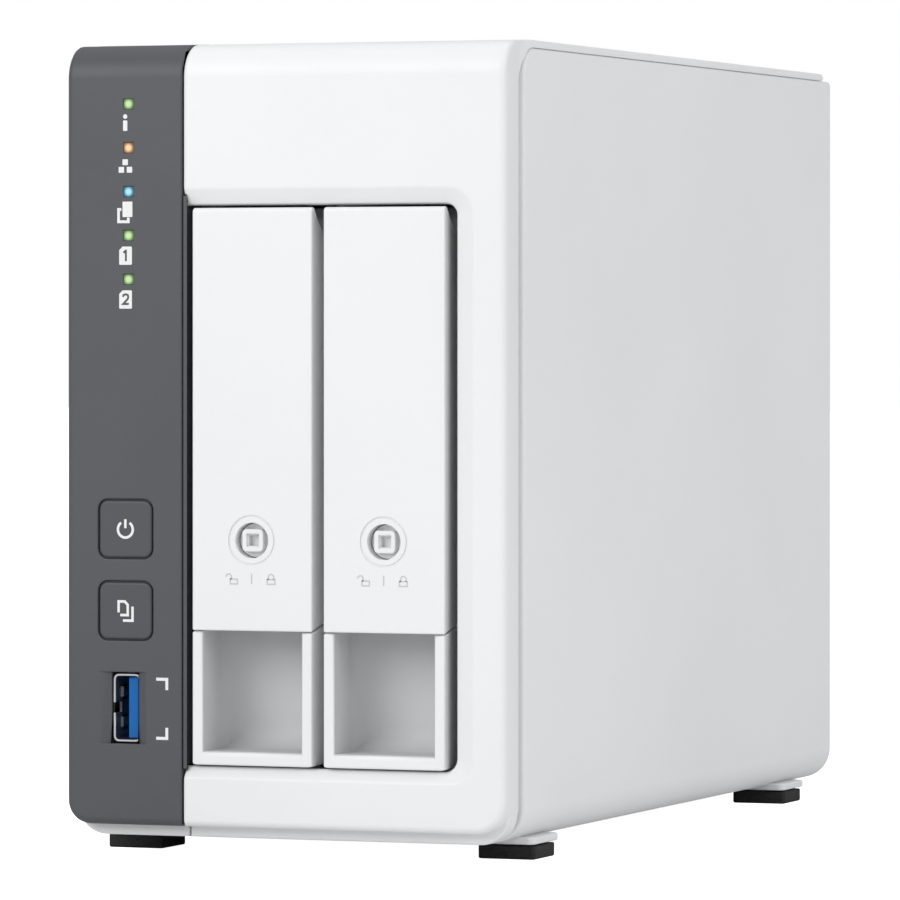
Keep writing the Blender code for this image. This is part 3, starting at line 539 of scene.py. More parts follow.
def bezel_waist():
    """Seen from above, the front caps lean in towards the seam, and the top behind is at full width again."""
    start, steps = 1.5, 8
    right = [Vector((HALF + 0.2, -1.0)), Vector((HALF + 0.02, start - 0.05))]
    for step in range(steps + 1):
        share = step / steps
        right.append(Vector((HALF - BEZEL_TAPER * share**2, start + (BEZEL_DEPTH - start) * share)))
    right += [Vector((HALF, BEZEL_DEPTH + 4.0)), Vector((HALF + 0.2, COVER.back + 1.0))]
    left = [Vector((-point.x, point.y)) for point in reversed(right)]
    return slabs("z", -1.0, COVER.high + 1.0, right + left)


def cap_profile(front, back):
    """Side view of a front cap with its strip of top running back: it steps round the side cover's corner."""
    strip, high = COVER.high - TOP_PLATE, COVER.high
    slope = [CROWN_BACK - (CROWN_BACK - 8.5) * step / 8 for step in range(9)]
    run = CROWN_BACK - TOP_FILLET
    crown = [(depth, high - CROWN * ((CROWN_BACK - depth) / run) ** 2) for depth in slope]
    return outline(
        (front, COVER.low - 1.0),
        (BEZEL_DEPTH, COVER.low - 1.0),
        (BEZEL_DEPTH, strip, SIDE_CORNER + SEAM_VALLEY),
        (back, strip),
        (back, high),
        *(crown if back > CROWN_BACK else crown[4:]),
        (front, high - CROWN, TOP_FILLET - 0.5),
    )


def seam_floor(left, right, left_corner, right_corner):
    """A rim behind a front cap, a little under the skin, that closes the seam before the side cover."""
    rim = trough(left, right, COVER.low + SEAM_DEPTH, COVER.high - 5.0, left_corner, right_corner)
    return slabs("depth", BEZEL_DEPTH - 1.0, SIDE_FRONT - 0.1, rim)


def hollow_cap(cap, left, right, left_corner, right_corner):
    """Leaves a cap as a shell that is open at the back."""
    back = SIDE_FRONT + 1.0
    section = trough(left, right, COVER.low + WALL, COVER.high - 5.3, left_corner, right_corner)
    crown = block((left, right), (5.0, back), (COVER.high - 6.0, COVER.high - WALL))
    return cut(cap, slabs("depth", BEZEL_PLATE, back, section), crown)


def bay_mouth(spread):
    """The bay's opening at a spread from 0, its mouth, to 1, the widest ring of the slope round it."""
    right, low, high = BAY_SIDES
    margin_top, margin_right, margin_bottom = (margin * spread for margin in FLARE_MARGINS)
    return outline(
        (SEAM - 5.1, low - margin_bottom),
        (right + margin_right, low - margin_bottom, 2.5 + margin_bottom),
        (right + margin_right, high + margin_top, 2.0 + margin_top),
        (SEAM - 5.1, high + margin_top),
        steps=12,
    )


def flare_depth(share):
    """How deep the slope round the bay is at a share of its way in: it starts softly and ends steeply."""
    soft, steep = 0.2, 0.92
    if share < soft:
        return FLARE_SLOPE * share**2 / (2 * soft)
    run = FLARE_SLOPE * (min(share, steep) - soft / 2)
    return run + max(0.0, share - steep) / (1 - steep) * (FLARE_DEPTH - run)


def bay_flare():
    """The slope round the bay's mouth, which the front face falls away into."""
    shares = (0.0, 0.04, 0.08, 0.12, 0.16, 0.2, 0.4, 0.6, 0.8, 0.92, 0.96, 1.0)
    steps = [(-0.4, 1.01)] + [(flare_depth(share), 1 - share) for share in shares]
    shape = bmesh.new()
    loft(shape, [[place(spot.x, depth, spot.y) for spot in bay_mouth(spread)] for depth, spread in steps])
    return new_object(shape)


def on_lower_corner(x, z):
    across, up = CORNER_ZONE
    return z < up and abs(x) > across


def rim_rule(x, depth, z):
    """Rounds the outside of a front cap, and less so the top's long edges that carry it on."""
    upper = z > COVER.high - CROWN - 0.1 or depth < TOP_FILLET
    if abs(x) > HALF - 0.1 and z > COVER.high - TOP_FILLET - CROWN and upper:
        return RIM + (TOP_RIM - RIM) * min(1.0, depth / TOP_FILLET)
    outside = abs(x) > HALF - 0.1 or z < COVER.low + 0.1 or on_lower_corner(x, z)
    return RIM if depth < 0.1 and outside else 0.0


def edge_rule(x, depth, z, width):
    """Breaks the other edges that show, and leaves those inside the shell."""
    skin = abs(x) > HALF - 0.1 or z < COVER.low + 0.1 or on_lower_corner(x, z)
    if skin and (depth > BEZEL_DEPTH - 0.1 or z > COVER.high - 10.0):
        climb = (z - COVER.high + 8.0) / 6.7
        return GROOVE + (TOP_GROOVE - GROOVE) * min(1.0, max(0.0, climb))
    near_skin = depth < 2.0 or z > COVER.high - 3.0
    if abs(x - SEAM) < 0.3 and z > COVER.low + 0.5 and near_skin and depth < CROWN_BACK:
        return (0.75 if x > SEAM else 0.3) * (1 - 0.6 * min(1.0, depth / 2.0) * (z < 140.0))
    if depth > COVER.back - 0.1 and z > COVER.high - 0.1:
        return 0.7
    return width if skin or z > COVER.high - 0.1 or depth < 2.0 else 0.0


def front_cap(cap, rim, hollow):
    """Trims a front cap to the enclosure, rounds its rim and hollows it."""
    keep_within(cap, enclosure_section())
    bake(soften(cap, rim_rule, 4))
    keep_within(cap, bezel_waist())
    join(cap, seam_floor(*rim))
    return hollow_cap(cap, *hollow)


def build_front_top_cover():
    left, corner = SEAM + GAP / 2, BOTTOM_CORNERS[1] - SEAM_DEPTH
    cover = slabs("x", left, HALF + 1.0, cap_profile(0.0, COVER.back))
    over_left = rectangle(PANEL.back + GAP, COVER.high - TOP_PLATE, COVER.back, COVER.high)
    join(cover, slabs("x", -HALF - 1.0, SEAM + 1.0, over_left))
    front_cap(cover, (left, HALF - SEAM_DEPTH, 0.0, corner), (SEAM - 1.0, HALF - WALL, 0.0, 4.3))
    cut(cover, bay_flare(), slabs("depth", 2.0, 5.0, bay_mouth(0.0)))
    soften(cover, lambda x, depth, z: edge_rule(x, depth, z, 0.2))
    piece(cover, "front_and_top", "chassis", "white_plastic", [WHITE], "front_top_cover")


def build_control_panel():
    right, corner = SEAM - GAP / 2, BOTTOM_CORNERS[0] - SEAM_DEPTH
    panel = slabs("x", -HALF - 1.0, right, cap_profile(PRINT, PANEL.back))
    front_cap(panel, (-HALF + SEAM_DEPTH, right, corner, 0.0), (-HALF + WALL, SEAM - 1.6, 2.5, 0.0))
    low, high = BAY_SIDES[1:]
    flange = outline((0.35, low - 1.2), (2.2, low + 0.3), (5.0, low + 0.3),
                     (5.0, high - 0.3), (2.0, high - 0.3), (0.35, high + 2.6))
    join(panel, slabs("x", SEAM - 1.0, PANEL.right - 0.05, flange))
    cut(panel, block((SEAM - GAP / 2, SEAM + GAP / 2), (-1.0, 1.2), (low - 3.0, high + 4.0)))
    keys = (middle(node) for node in ("power_button", "copy_button"))
    holes = [square(*key, BUTTON_HALF + GAP, BUTTON_CORNER + GAP) for key in keys]
    holes += [square(LED_X, height, LED_HALF) for height in LED_HEIGHTS]
    cut(panel, slabs("depth", -1.0, 4.0, *holes))
    port = span("front_usb_shell")
    low, high = port.low - GAP, port.high + GAP
    dish = outline(
        (USB_X - DISH_HALF - 0.6, -0.3), (port.left - 2 * GAP, DISH_DEPTH),
        (port.right - 0.1, DISH_DEPTH), (USB_X + DISH_HALF - 0.7, -0.3),
    )
    cut(panel, slabs("z", low, high, dish))
    cut(panel, block((port.left - GAP, port.right - PORT_LIP), (-1.0, 4.0), (low, high)))
    soften(panel, lambda x, depth, z: edge_rule(x, depth, z, 0.25))
    piece(panel, "control_fascia", "chassis", "dark_plastic", [DARK], "control_panel")


def build_base_lip(name, side, seam):
    """The base's front edge, which shows under the front cap and runs up behind its corner."""
    outer, inner = side * (HALF - LIP_INSET), side * (HALF - LIP_INSET - LIP_WALL)
    low, corner, high, inner_low = SIDE_LOW + 0.02, SIDE_CORNER - LIP_INSET, 13.0, 7.0
    section = outline(
        (seam, low), (outer, low, corner), (outer, high),
        (inner, high), (inner, inner_low, corner - LIP_WALL), (seam, inner_low),
    )
    lip = slabs("depth", LIP_FRONT, BEZEL_DEPTH - 0.2, section)
    soften(lip, lambda x, depth, z: 0.4 if depth < LIP_FRONT + 0.1 else 0.0)
    piece(lip, f"{name}_lip", "chassis", "white_plastic", [WHITE], name)


def build_side_cover(name, side):
    """A side with its part of the underside, plates over its feet and lugs for its screws."""
    box = span(name)
    outer, inner = side * HALF, side * (HALF - WALL)
    seam = box.left if side > 0 else box.right
    floor = SIDE_LOW + WALL + 0.3
    section = outline(
        (outer, box.high + 1.0), (outer, SIDE_LOW, SIDE_CORNER), (seam, SIDE_LOW),
        (seam, floor), (inner, floor, SIDE_CORNER - WALL), (inner, box.high + 1.0),
    )
    cover = slabs("depth", box.front - 1.0, box.back + 1.0, section)
    side_view = outline(
        (SIDE_FRONT, 0.0), (box.back, 0.0),
        (box.back, box.high, 1.2), (SIDE_FRONT, box.high, SIDE_CORNER - SEAM_VALLEY),
    )
    keep_within(cover, slabs("x", -50.0, 50.0, side_view))
    for row in ("front", "rear"):
        foot = span(f"foot_{row}_{'left' if side < 0 else 'right'}")
        left, right = sorted((side * 31.8, side * 44.4))
        plate = rectangle(left, foot.front - 0.8, right, foot.back + 2.0, 1.6)
        join(cover, slabs("z", foot.high + GAP, 4.35, plate))
    for screw in CASE_SCREWS:
        x, z = middle(screw)
        if x * side > 0:
            left, right = sorted((side * (abs(x) - 2.2), side * (HALF - WALL + 0.5)))
            join(cover, block((left, right), (186.0, REAR.front - GAP), (z - 4.0, z + 4.0)))
            cut(cover, disc((x, z), 1.7, (184.0, 200.0), 16))

    def rule(x, depth, z):
        if z < SIDE_LOW + 1.0 and SIDE_FRONT + 0.2 < depth < box.back - 0.2:
            return 0.35 if abs(z - SIDE_LOW) > 0.5 else 0.0
        corner = abs(x) > HALF - SIDE_CORNER and z < SIDE_LOW + SIDE_CORNER
        return 0.6 if abs(x) > HALF - 0.1 or z < SIDE_LOW + 0.1 or corner else 0.0

    soften(cover, rule)
    piece(cover, f"{name}_shell", "chassis", "white_plastic", [WHITE], name)
    build_base_lip(name, side, seam)


def build_feet():
    for node in ("foot_front_left", "foot_front_right", "foot_rear_left", "foot_rear_right"):
        box = span(node)
        foot = slabs("z", box.low, box.high, rectangle(box.left, box.front, box.right, box.back, 0.8))
        low_ring = rectangle(box.left + 1.2, box.front + 1.2, box.right - 1.2, box.back - 1.2, 0.5)
        cut(foot, slabs("z", -1.0, 0.25, low_ring))
        soften(foot, lambda x, depth, z: 0.35 if z < 0.1 else 0.2)
        piece(foot, f"{node}_pad", "chassis", "rubber", [RUBBER], node)


# ---------------------------------------------------------------- control panel


def build_lights():
    box = span("light_pipes")
    bar = block((box.left, box.right), (4.5, 6.5), (box.low, box.high))
    prongs = [square(LED_X, height, LED_HALF - 0.04, 0.12) for height in LED_HEIGHTS]
    join(bar, slabs("depth", box.front, 5.0, *prongs))
    finishes = [CLEAR]
    for row, (height, colours) in enumerate(zip(LED_HEIGHTS, LIGHTS), 1):
        finishes.append(make_lens(f"lamp_window_{row}", place(LED_X, box.front, height), *colours))
    for index, height in enumerate(LED_HEIGHTS, 1):
        paint(bar, index, lambda x, depth, z, level=height: depth < 4.0 and abs(z - level) < 1.0)
    soften(bar, 0.12)
    indices = [face.material_index for face in bar.data.polygons]
    piece(bar, "lamp_windows", "chassis", "clear_plastic", finishes, "light_pipes")
    for face, index in zip(bar.data.polygons, indices):
        face.material_index = index


def printed(name, outlines, finish, body="chassis", slot="white_plastic", front=0.02):
    """Flat marks printed on a front face."""
    marks = slabs("depth", front, PRINT + 0.1, *outlines)
    return piece(marks, name, body, slot, [finish])


def build_printed_marks():
    x = LED_X - 0.67
    status, network, external, *bays = LED_HEIGHTS
    letter = rectangle(x - 0.44, status - 5.15, x + 0.44, status - 3.15, 0.1)
    printed("mark_status", [circle(x, status - 2.4, 0.44), letter], PRINTED)
    hosts = ((0.0, -2.75), (-0.8, -4.2), (0.9, -4.2))
    printed("mark_network", [square(x + u, network + v, 0.56, 0.1) for u, v in hosts], PRINTED)
    page = rectangle(x - 0.55, external - 4.85, x + 1.5, external - 1.9, 0.1)
    behind = ((-0.8, -3.4), (-1.38, -3.4), (-1.38, -5.75), (0.65, -5.75), (0.65, -4.95))
    printed("mark_external_drive", [page, *strokes([behind], x, external, 0.55)], PRINTED)
    one = ((-0.45, 0.55), (0.0, 0.95), (0.05, 0.95), (0.05, -1.05))
    two = ((-0.55, 0.5), (-0.45, 0.85), (0.0, 1.0), (0.45, 0.85),
           (0.55, 0.45), (0.4, 0.05), (-0.5, -0.85), (0.65, -0.85))
    for number, height, digit in zip(PAIR, bays, (one, two)):
        low, high = height - 5.6, height - 2.1
        drive = outline((x - 1.25, low, 0.2), (x + 1.4, low, 0.2), (x + 1.4, high, 0.2),
                        (x - 0.55, high, 0.1), (x - 1.25, high - 0.7, 0.1))
        printed(f"mark_bay_{number}", [drive], PRINTED)
        numeral = strokes([digit], x + 0.1, (low + high) / 2, 0.4)
        printed(f"mark_bay_{number}_digit", numeral, DARK, slot="dark_plastic", front=0.005)
    for name, turn in (("upper", 1), ("lower", -1)):
        bracket = [(-26.2, 5.65 * turn), (-24.0, 5.65 * turn), (-24.0, 3.6 * turn)]
        printed(f"mark_port_{name}", strokes([bracket], 0.0, USB_Z, 0.58), PRINTED)


def build_button(name, marks):
    """A key with a flange behind the panel, a stem and its printed mark."""
    node = f"{name}_button"
    x, z = middle(node)
    key = slabs("depth", PRINT, 2.8, square(x, z, BUTTON_HALF, BUTTON_CORNER))
    join(key, slabs("depth", 0.75, 2.7, square(x, z, BUTTON_HALF + 0.24, BUTTON_CORNER + 0.24)))
    flange = slabs("depth", 2.5, 3.3, square(x, z, BUTTON_HALF + 0.8))
    join(key, flange, disc((x, z), 2.2, (3.0, span(node).back)))
    soften(key, lambda u, depth, v: 0.45 if depth < 0.1 else 0.0, 4)
    piece(key, f"{name}_key", node, "dark_plastic", [BUTTON], node)
    printed(f"{name}_key_mark", strokes(marks, x, z, 0.5), PRINTED, node)


def build_buttons():
    ring, bar = arc(0.0, -0.1, 1.55, 125, 415, 30), [(0.0, 0.15), (0.0, 1.85)]
    front_page = [(-1.45, -0.95), (0.1, -0.95), (0.1, 1.0), (-0.5, 1.65), (-1.8, 1.65), (-1.8, -0.45)]
    rear_page = [(1.1, 0.7), (1.1, -2.0), (-0.9, -2.0)]
    build_button("power", [ring, bar])
    build_button("copy", [[(u + 0.4, v + 0.1) for u, v in page] for page in (front_page, rear_page)])


def build_usb_port(shell_node, tongue_node, name, tongue_finish):
    """An upright USB socket: a folded steel shell with spring tabs, and a tongue with its contacts."""
    box, tongue, (x, z) = span(shell_node), span(tongue_node), middle(shell_node)
    left, right, sheet = box.left, box.right, 0.45
    facing_front = box.front < REAR.front / 2
    mouth, inwards = (box.front, 1) if facing_front else (box.back, -1)

    def run(start, end):
        return sorted((mouth + inwards * start, mouth + inwards * end))

    shell = slabs("depth", box.front, box.back, rectangle(left, box.low, right, box.high, 1.1))
    room = rectangle(left + sheet, box.low + sheet, right - sheet, box.high - sheet, 0.7)
    cut(shell, slabs("depth", box.front - 1.0, box.back + 1.0, room))
    if facing_front:
        notch = block((left - 0.5, left + sheet + 0.1), run(-1.0, 3.0), (z - 1.0, z + 1.0))
        behind_panel = (right - PORT_LIP - 0.1, right + 0.5)
        cut(shell, notch, block(behind_panel, run(-1.0, 1.9), (box.low - 1.0, box.high + 1.0)))
    for side in (-1, 1):
        low, high = sorted((z + side * 1.6, z + side * 4.2))
        near, far = run(3.0, 9.0)
        slits = (rectangle(near, level, far, level + 0.3) for level in (low, high - 0.3))
        cut(shell, slabs("x", left - 0.5, right + 0.5, *slits))
        spring = ((0.3, 8.8), (1.0, 4.6), (0.6, 3.2))
        tab = ribbon([(left + u, mouth + inwards * depth) for u, depth in spring], 0.25)
        join(shell, slabs("z", low + 0.35, high - 0.35, tab))
    soften(shell, lambda u, depth, v: 0.1 if abs(depth - mouth) < 0.1 else 0.0, 2)
    piece(shell, f"{name}_shell", "chassis", "steel", [PLATED], shell_node)

    blade_left = x - 0.1
    body = block((left + sheet + GAP, tongue.right), run(12.0, 16.8), (tongue.low, tongue.high))
    blade = rectangle(blade_left, tongue.low, tongue.right - 0.15, tongue.high, 0.25)
    join(body, slabs("depth", *run(1.0, 13.0), blade))
    lows = (z - 4.4 + 2.5 * row for row in range(4))
    contacts = (rectangle(blade_left - 0.12, low, blade_left + 0.1, low + 1.0) for low in lows)
    join(body, slabs("depth", *run(2.0, 9.0), *contacts))
    soften(body, lambda u, depth, v: 0.18 if abs(depth - mouth) < 1.2 else 0.0, 2)
    slot = "blue_plastic" if facing_front else "black_plastic"
    piece(body, f"{name}_tongue", "chassis", slot, [tongue_finish, GILT], tongue_node)
    paint(body, 1, lambda u, depth, v: u < blade_left - 0.02 and abs(depth - mouth) < 10.0)


# ---------------------------------------------------------------- drive bay


def build_tray(number):
    """The carrier: a block with the finger pocket, ears for the lever, a vented face and two rails."""
    node = f"drive_tray_{number}"
    box, (centre, _) = span(node), middle(node)
    handle = span(f"tray_handle_{number}")
    half = (box.right - box.left) / 2
    block_side = outline(
        (0.0, box.low), (FACE_BACK, box.low), (FACE_BACK, handle.low + 3.0),
        (handle.back + 1.0, handle.low + 1.3), (0.0, handle.low - GAP),
    )
    tray = slabs("x", box.left, box.right, block_side)
    pocket = outline(
        (centre - 10.15, -1.0), (centre + 10.15, -1.0),
        (centre + 10.15, POCKET_BACK, 5.0), (centre - 10.15, POCKET_BACK, 5.0),
    )
    cut(tray, slabs("z", POCKET_FLOOR, 60.0, pocket))
    behind, under, bend = POCKET_BACK + 0.5, POCKET_FLOOR - 0.5, 5.0
    sweep = arc(POCKET_BACK - bend, POCKET_FLOOR + bend, bend, 0, -90, 14)
    fillet = [(behind, POCKET_FLOOR + bend), *sweep, (POCKET_BACK - bend, under), (behind, under)]
    join(tray, slabs("x", centre - 10.4, centre + 10.4, [Vector(point) for point in fillet]))
    face = (FACE_BACK - WALL, FACE_BACK)
    join(tray, block((box.left + GAP, box.right - GAP), face, (box.low + 0.5, box.high - GAP)))
    hinge_depth, hinge_z = HINGE
    ear = outline(
        (hinge_depth - 1.5, hinge_z - 2.6, 1.2), (16.0, 108.0),
        (16.0, 119.0), (hinge_depth - 1.5, hinge_z + 1.5, 1.4),
    )
    for side in (-1, 1):
        wall = sorted((centre + side * (half - 0.3), centre + side * (half - 1.8)))
        thickness = sorted((centre + side * 10.6, centre + side * 9.2))
        join(tray, block(wall, (handle.back + 0.9, 16.0), (40.0, 112.0)), slabs("x", *thickness, ear))
    cut(tray, slabs("x", centre - 15.0, centre + 15.0, circle(*HINGE, 1.0, 20)))
    window = rectangle(centre - 6.0, 30.0, centre + 6.0, 150.0, 1.0)
    for low in (box.low, box.high - WALL):
        join(tray, block((centre - 10.0, centre + 10.0), (15.0, box.back), (low, low + WALL)))
        cut(tray, slabs("z", low - 1.0, low + WALL + 1.0, window))
    lows = (56.0 + 7.0 * row for row in range(7))
    vents = [rectangle(centre - 7.0, low, centre + 7.0, low + 3.5, 1.6) for low in lows]
    cut(tray, slabs("depth", face[0] - 1.0, face[1] + 1.0, *vents))

    def rule(x, depth, z):
        side_skin = abs(x - centre) > half - 0.1
        if depth < 0.1:
            pocket_edge = abs(x - centre) < 10.3 and z > POCKET_FLOOR - 0.2
            return (0.9 if z < POCKET_FLOOR + 0.2 else 0.45) if pocket_edge else 0.35
        if z < box.low + 0.1:
            return 0.8 if side_skin and depth < FACE_BACK else 0.2
        return 0.2 if side_skin and depth < 13.0 and z < handle.low + 2.0 else 0.0

    soften(tray, rule)
    piece(tray, f"{node}_carrier", f"tray_{number}", "white_plastic", [WHITE, TEXTURED_PAINTED_SHADE], node)
    # The pocket's inner faces take the darker finish: painted shade in the recess, with a coarser grain
    paint(tray, 1, lambda x, depth, z: depth > 0.5 and abs(x - centre) < 10.2 and 20.3 < z < 60.0)


def build_handle(number):
    """The lever that is the tray's face: hollow behind, with a ring round its lock."""
    node = f"tray_handle_{number}"
    box, (centre, _) = span(node), middle(node)
    side_view = outline(
        (PRINT, box.low), (box.back, box.low + 1.6), (box.back, 119.0, 2.0),
        (3.6, 121.6, 1.2), (1.6, box.high, 0.6), (PRINT, box.high, 0.8),
    )
    handle = slabs("x", box.left, box.right, side_view)
    room = outline(
        (1.5, box.low + 2.2), (9.0, box.low + 4.2), (9.0, 126.0),
        (3.4, 126.0), (3.0, 121.2), (1.2, 120.0), (1.2, 112.0), (1.5, 110.0),
    )
    cut(handle, slabs("x", box.left + 1.2, box.right - 1.2, room))
    lock = (centre, LOCK_Z)
    join(handle, disc(lock, 4.9, (1.0, 5.0)))
    cut(handle, spun(lock, ((4.85, -1.0), (4.85, 0.3), (4.6, 0.32)), 48))
    join(handle, spun(lock, ((4.45, 0.4), (4.45, 0.16), (4.3, 0.09)), 48))
    cut(handle, disc(lock, 3.4, (-1.0, 9.0), 48))
    cut(handle, slabs("x", box.left + 0.5, box.right - 0.5, circle(*HINGE, 1.0, 20)))

    def rule(x, depth, z):
        inside = min(x - box.left, box.right - x) > 0.1 and z < 118.0 and depth > 0.5
        if inside or depth > 6.8 or math.hypot(x - centre, z - LOCK_Z) < 6:
            return 0.0
        return 0.35 if z < box.low + 0.5 else 0.28

    soften(handle, rule)
    piece(handle, f"{node}_lever", f"handle_{number}", "white_plastic", [WHITE], node)
    build_lock(number, centre)
    build_lock_legend(number, centre)


def build_lock_legend(number, centre):
    """An open padlock, a bar and a closed padlock."""
    open_case = [(-4.4, -0.1), (-2.9, -0.1), (-2.9, -1.0), (-4.4, -1.0), (-4.4, 0.05)]
    closed_case = [(3.2, -0.1), (4.8, -0.1), (4.8, -1.0), (3.2, -1.0), (3.2, 0.05)]
    shackle = [(3.45, -0.1), *arc(4.0, 0.35, 0.55, 180, 0, 8), (4.55, -0.1)]
    signs = {
        "open": [arc(-4.7, 0.35, 0.55, 0, 180, 8), [(-4.15, 0.35), (-4.15, -0.1)], open_case],
        "line": [[(0.0, -1.0), (0.0, 1.0)]],
        "closed": [shackle, closed_case],
    }
    for name, marks in signs.items():
        legend = strokes(marks, centre, LOCK_Z - 7.3, 0.28)
        printed(f"lock_legend_{number}_{name}", legend, GREY_PRINT, f"handle_{number}")


def build_lock(number, centre):
    """A quarter-turn lock with a square socket and its tongue."""
    node = f"tray_lock_{number}"
    box = span(node)
    lock = spun((centre, LOCK_Z), ((3.25, 2.2), (3.25, 6.0)), 48)
    join(lock, slabs("depth", 0.5, 3.0, square(centre, LOCK_Z, 2.15, 0.8)))
    join(lock, block((centre - 1.5, box.right), (5.3, box.back), (LOCK_Z - 1.5, LOCK_Z + 1.5)))
    cut(lock, slabs("depth", -1.0, 1.1, square(centre, LOCK_Z, 1.25, 0.1)))
    cut(lock, slabs("depth", 1.0, 2.6, square(centre, LOCK_Z, 1.05)))
    soften(lock, lambda x, depth, z: 0.18 if depth < 0.6 else 0.1)
    piece(lock, f"{node}_barrel", f"lock_{number}", "white_plastic", [WHITE], node)


def build_drive(number):
    """A 3.5 inch drive on its long edge: casting, stamped lid, board, label and screws."""
    node, body = f"hard_drive_{number}", f"tray_{number}"
    box, (centre, height) = span(node), middle(node)

    def panel(low, high, front, foot, back, head, radius):
        """A sheet on the drive's side, held in by these margins from its edges."""
        edges = (box.front + front, box.low + foot, box.back - back, box.high - head)
        return slabs("x", low, high, rectangle(*edges, radius))

    drive = panel(box.left + 1.3, box.right - 0.5, 0.0, 0.0, 0.0, 0.0, 3.0)
    holes = [circle(centre, box.front + depth, 1.7, 20) for depth in (28.5, 130.1)]
    for edge in (box.low, box.high):
        cut(drive, slabs("z", edge - 4.0, edge + 4.0, *holes))
    cut(drive, panel(box.left, box.left + 2.2, 4.0, 4.0, 8.0, 4.0, 4.0))
    soften(drive, lambda x, depth, z: 0.6 if x > centre else 0.3)
    piece(drive, f"{node}_casting", body, "cast_aluminium", [CAST], node)
    lid = panel(box.right - 0.6, box.right - 0.1, 1.5, 1.5, 1.5, 1.5, 4.0)
    boss = [Vector(point) for point in arc(box.front + 52.0, height, 38.0, 0, 360, 64)[:-1]]
    join(lid, slabs("x", box.right - 0.3, box.right, boss))
    depths, heights = (box.front + 6.0, box.back - 6.0), (box.low + 6.0, box.high - 6.0)
    screws = [circle(depth, z, 2.2, 24) for depth in depths for z in heights]
    join(lid, slabs("x", box.right - 0.3, box.right, *screws))
    soften(lid, 0.15)
    piece(lid, f"{node}_lid", body, "bare_aluminium", [PLATED])
    label = panel(box.right - 0.12, box.right - 0.02, 96.0, 12.0, 12.0, 12.0, 1.5)
    piece(label, f"{node}_label", body, "bare_aluminium", [LABEL])
    board = panel(box.left + 0.4, box.left + 1.6, 5.0, 5.0, 10.0, 5.0, 3.0)
    piece(board, f"{node}_board", body, "circuit_board", [BOARD])
    for index, (u, v, size) in enumerate(((40.0, 40.0, 14.0), (70.0, 30.0, 9.0), (64.0, 58.0, 11.0)), 1):
        depth, z = box.front + u, box.low + v
        package = slabs("x", box.left, box.left + 0.5, rectangle(depth, z, depth + size, z + size))
        soften(package, 0.1)
        piece(package, f"{node}_chip_{index}", body, "black_plastic", [BLACK])


# ---------------------------------------------------------------- rear


def fan_slots():
    """Rows of slots in two halves, which fill a round field in front of the fan."""
    x, z = FAN
    field, pitch, half_slot, half_bar, corner = 27.0, 6.0, 1.6, 1.2, 1.5
    slots = []
    for row in range(-4, 5):
        height = row * pitch
        reach = math.sqrt(field**2 - (abs(height) + half_slot) ** 2)
        low, high = z + height - half_slot, z + height + half_slot
        halves = ((x - reach, x - half_bar), (x + half_bar, x + reach))
        slots += [rectangle(left, low, right, high, corner) for left, right in halves]
    return slots


def port_hole(node, radius=0.0):
    port = span(node)
    return rectangle(port.left - GAP, port.low - GAP, port.right + GAP, port.high + GAP, radius)


def build_rear_panel():
    plate = trough(REAR.left, REAR.right, REAR.low, REAR.high, 4.0, 4.0)
    panel = slabs("depth", REAR.front, REAR.back, plate)
    holes = fan_slots()
    holes += [circle(*middle(screw), 1.8, 20) for screw in FAN_SCREWS + CASE_SCREWS]
    holes += [port_hole(f"rear_usb_shell_{port}", 0.6) for port in PAIR]
    holes += [port_hole(f"lan_jack_{port}") for port in PAIR]
    x, z = middle("dc_jack_pin")
    holes += [circle(x, z, 4.4), circle(x, middle("reset_button")[1], 1.6, 24)]
    holes.append(rectangle(x - 1.5, 131.0, x + 1.5, 138.0, 1.2))
    lows = (first_slot + row * 4.0 for first_slot in (15.0, 126.0) for row in range(6))
    holes += [rectangle(-18.0, low, 34.0, low + 1.8, 0.85) for low in lows]
    cut(panel, slabs("depth", REAR.front - 1.0, REAR.back + 1.0, *holes))
    soften(panel, lambda x, depth, z: 0.22 if depth > REAR.back - 0.1 else 0.0, 2)
    piece(panel, "rear_plate", "chassis", "painted_steel", [PAINTED], "rear_panel")


def build_lan_jack(number):
    """A shielded socket with its contacts and two lamps."""
    node = f"lan_jack_{number}"
    box, (_, z) = span(node), middle(node)
    jack = block((box.left, box.right), (box.front, box.back), (box.low, box.high))
    mouth = rectangle(-33.0, z - 5.9, box.right - 2.5, z + 5.9, 0.2)
    latch = rectangle(-35.0, z - 3.1, -32.0, z + 3.1, 0.2)
    for opening in (mouth, latch):
        cut(jack, slabs("depth", 184.0, box.back + 5.0, opening))
    soften(jack, lambda x, depth, v: 0.25 if depth > box.back - 0.1 else 0.0, 2)
    piece(jack, f"{node}_shell", "chassis", "steel", [PLATED], node)
    contacts = [rectangle(-26.6, z - 4.1 + 1.1 * row, -26.2, z - 3.7 + 1.1 * row) for row in range(8)]
    piece(slabs("depth", 184.5, 194.0, *contacts), f"{node}_contacts", "chassis", "steel", [GILT])
    for index, (level, colours) in enumerate(((z - 6.9, GREEN_LIGHT), (z + 6.9, AMBER_LIGHT)), 1):
        window = rectangle(-34.6, level - 0.7, -32.4, level + 0.7, 0.2)
        lamp = soften(slabs("depth", box.back - 3.0, box.back, window), 0.1, 2)
        lens = moulded(f"link_lamp_{number}_{index}", shade(colours[1], 1.2), 0.25, variation=0.1)
        piece(lamp, f"{node}_lamp_{index}", "chassis", "clear_plastic", [lens])


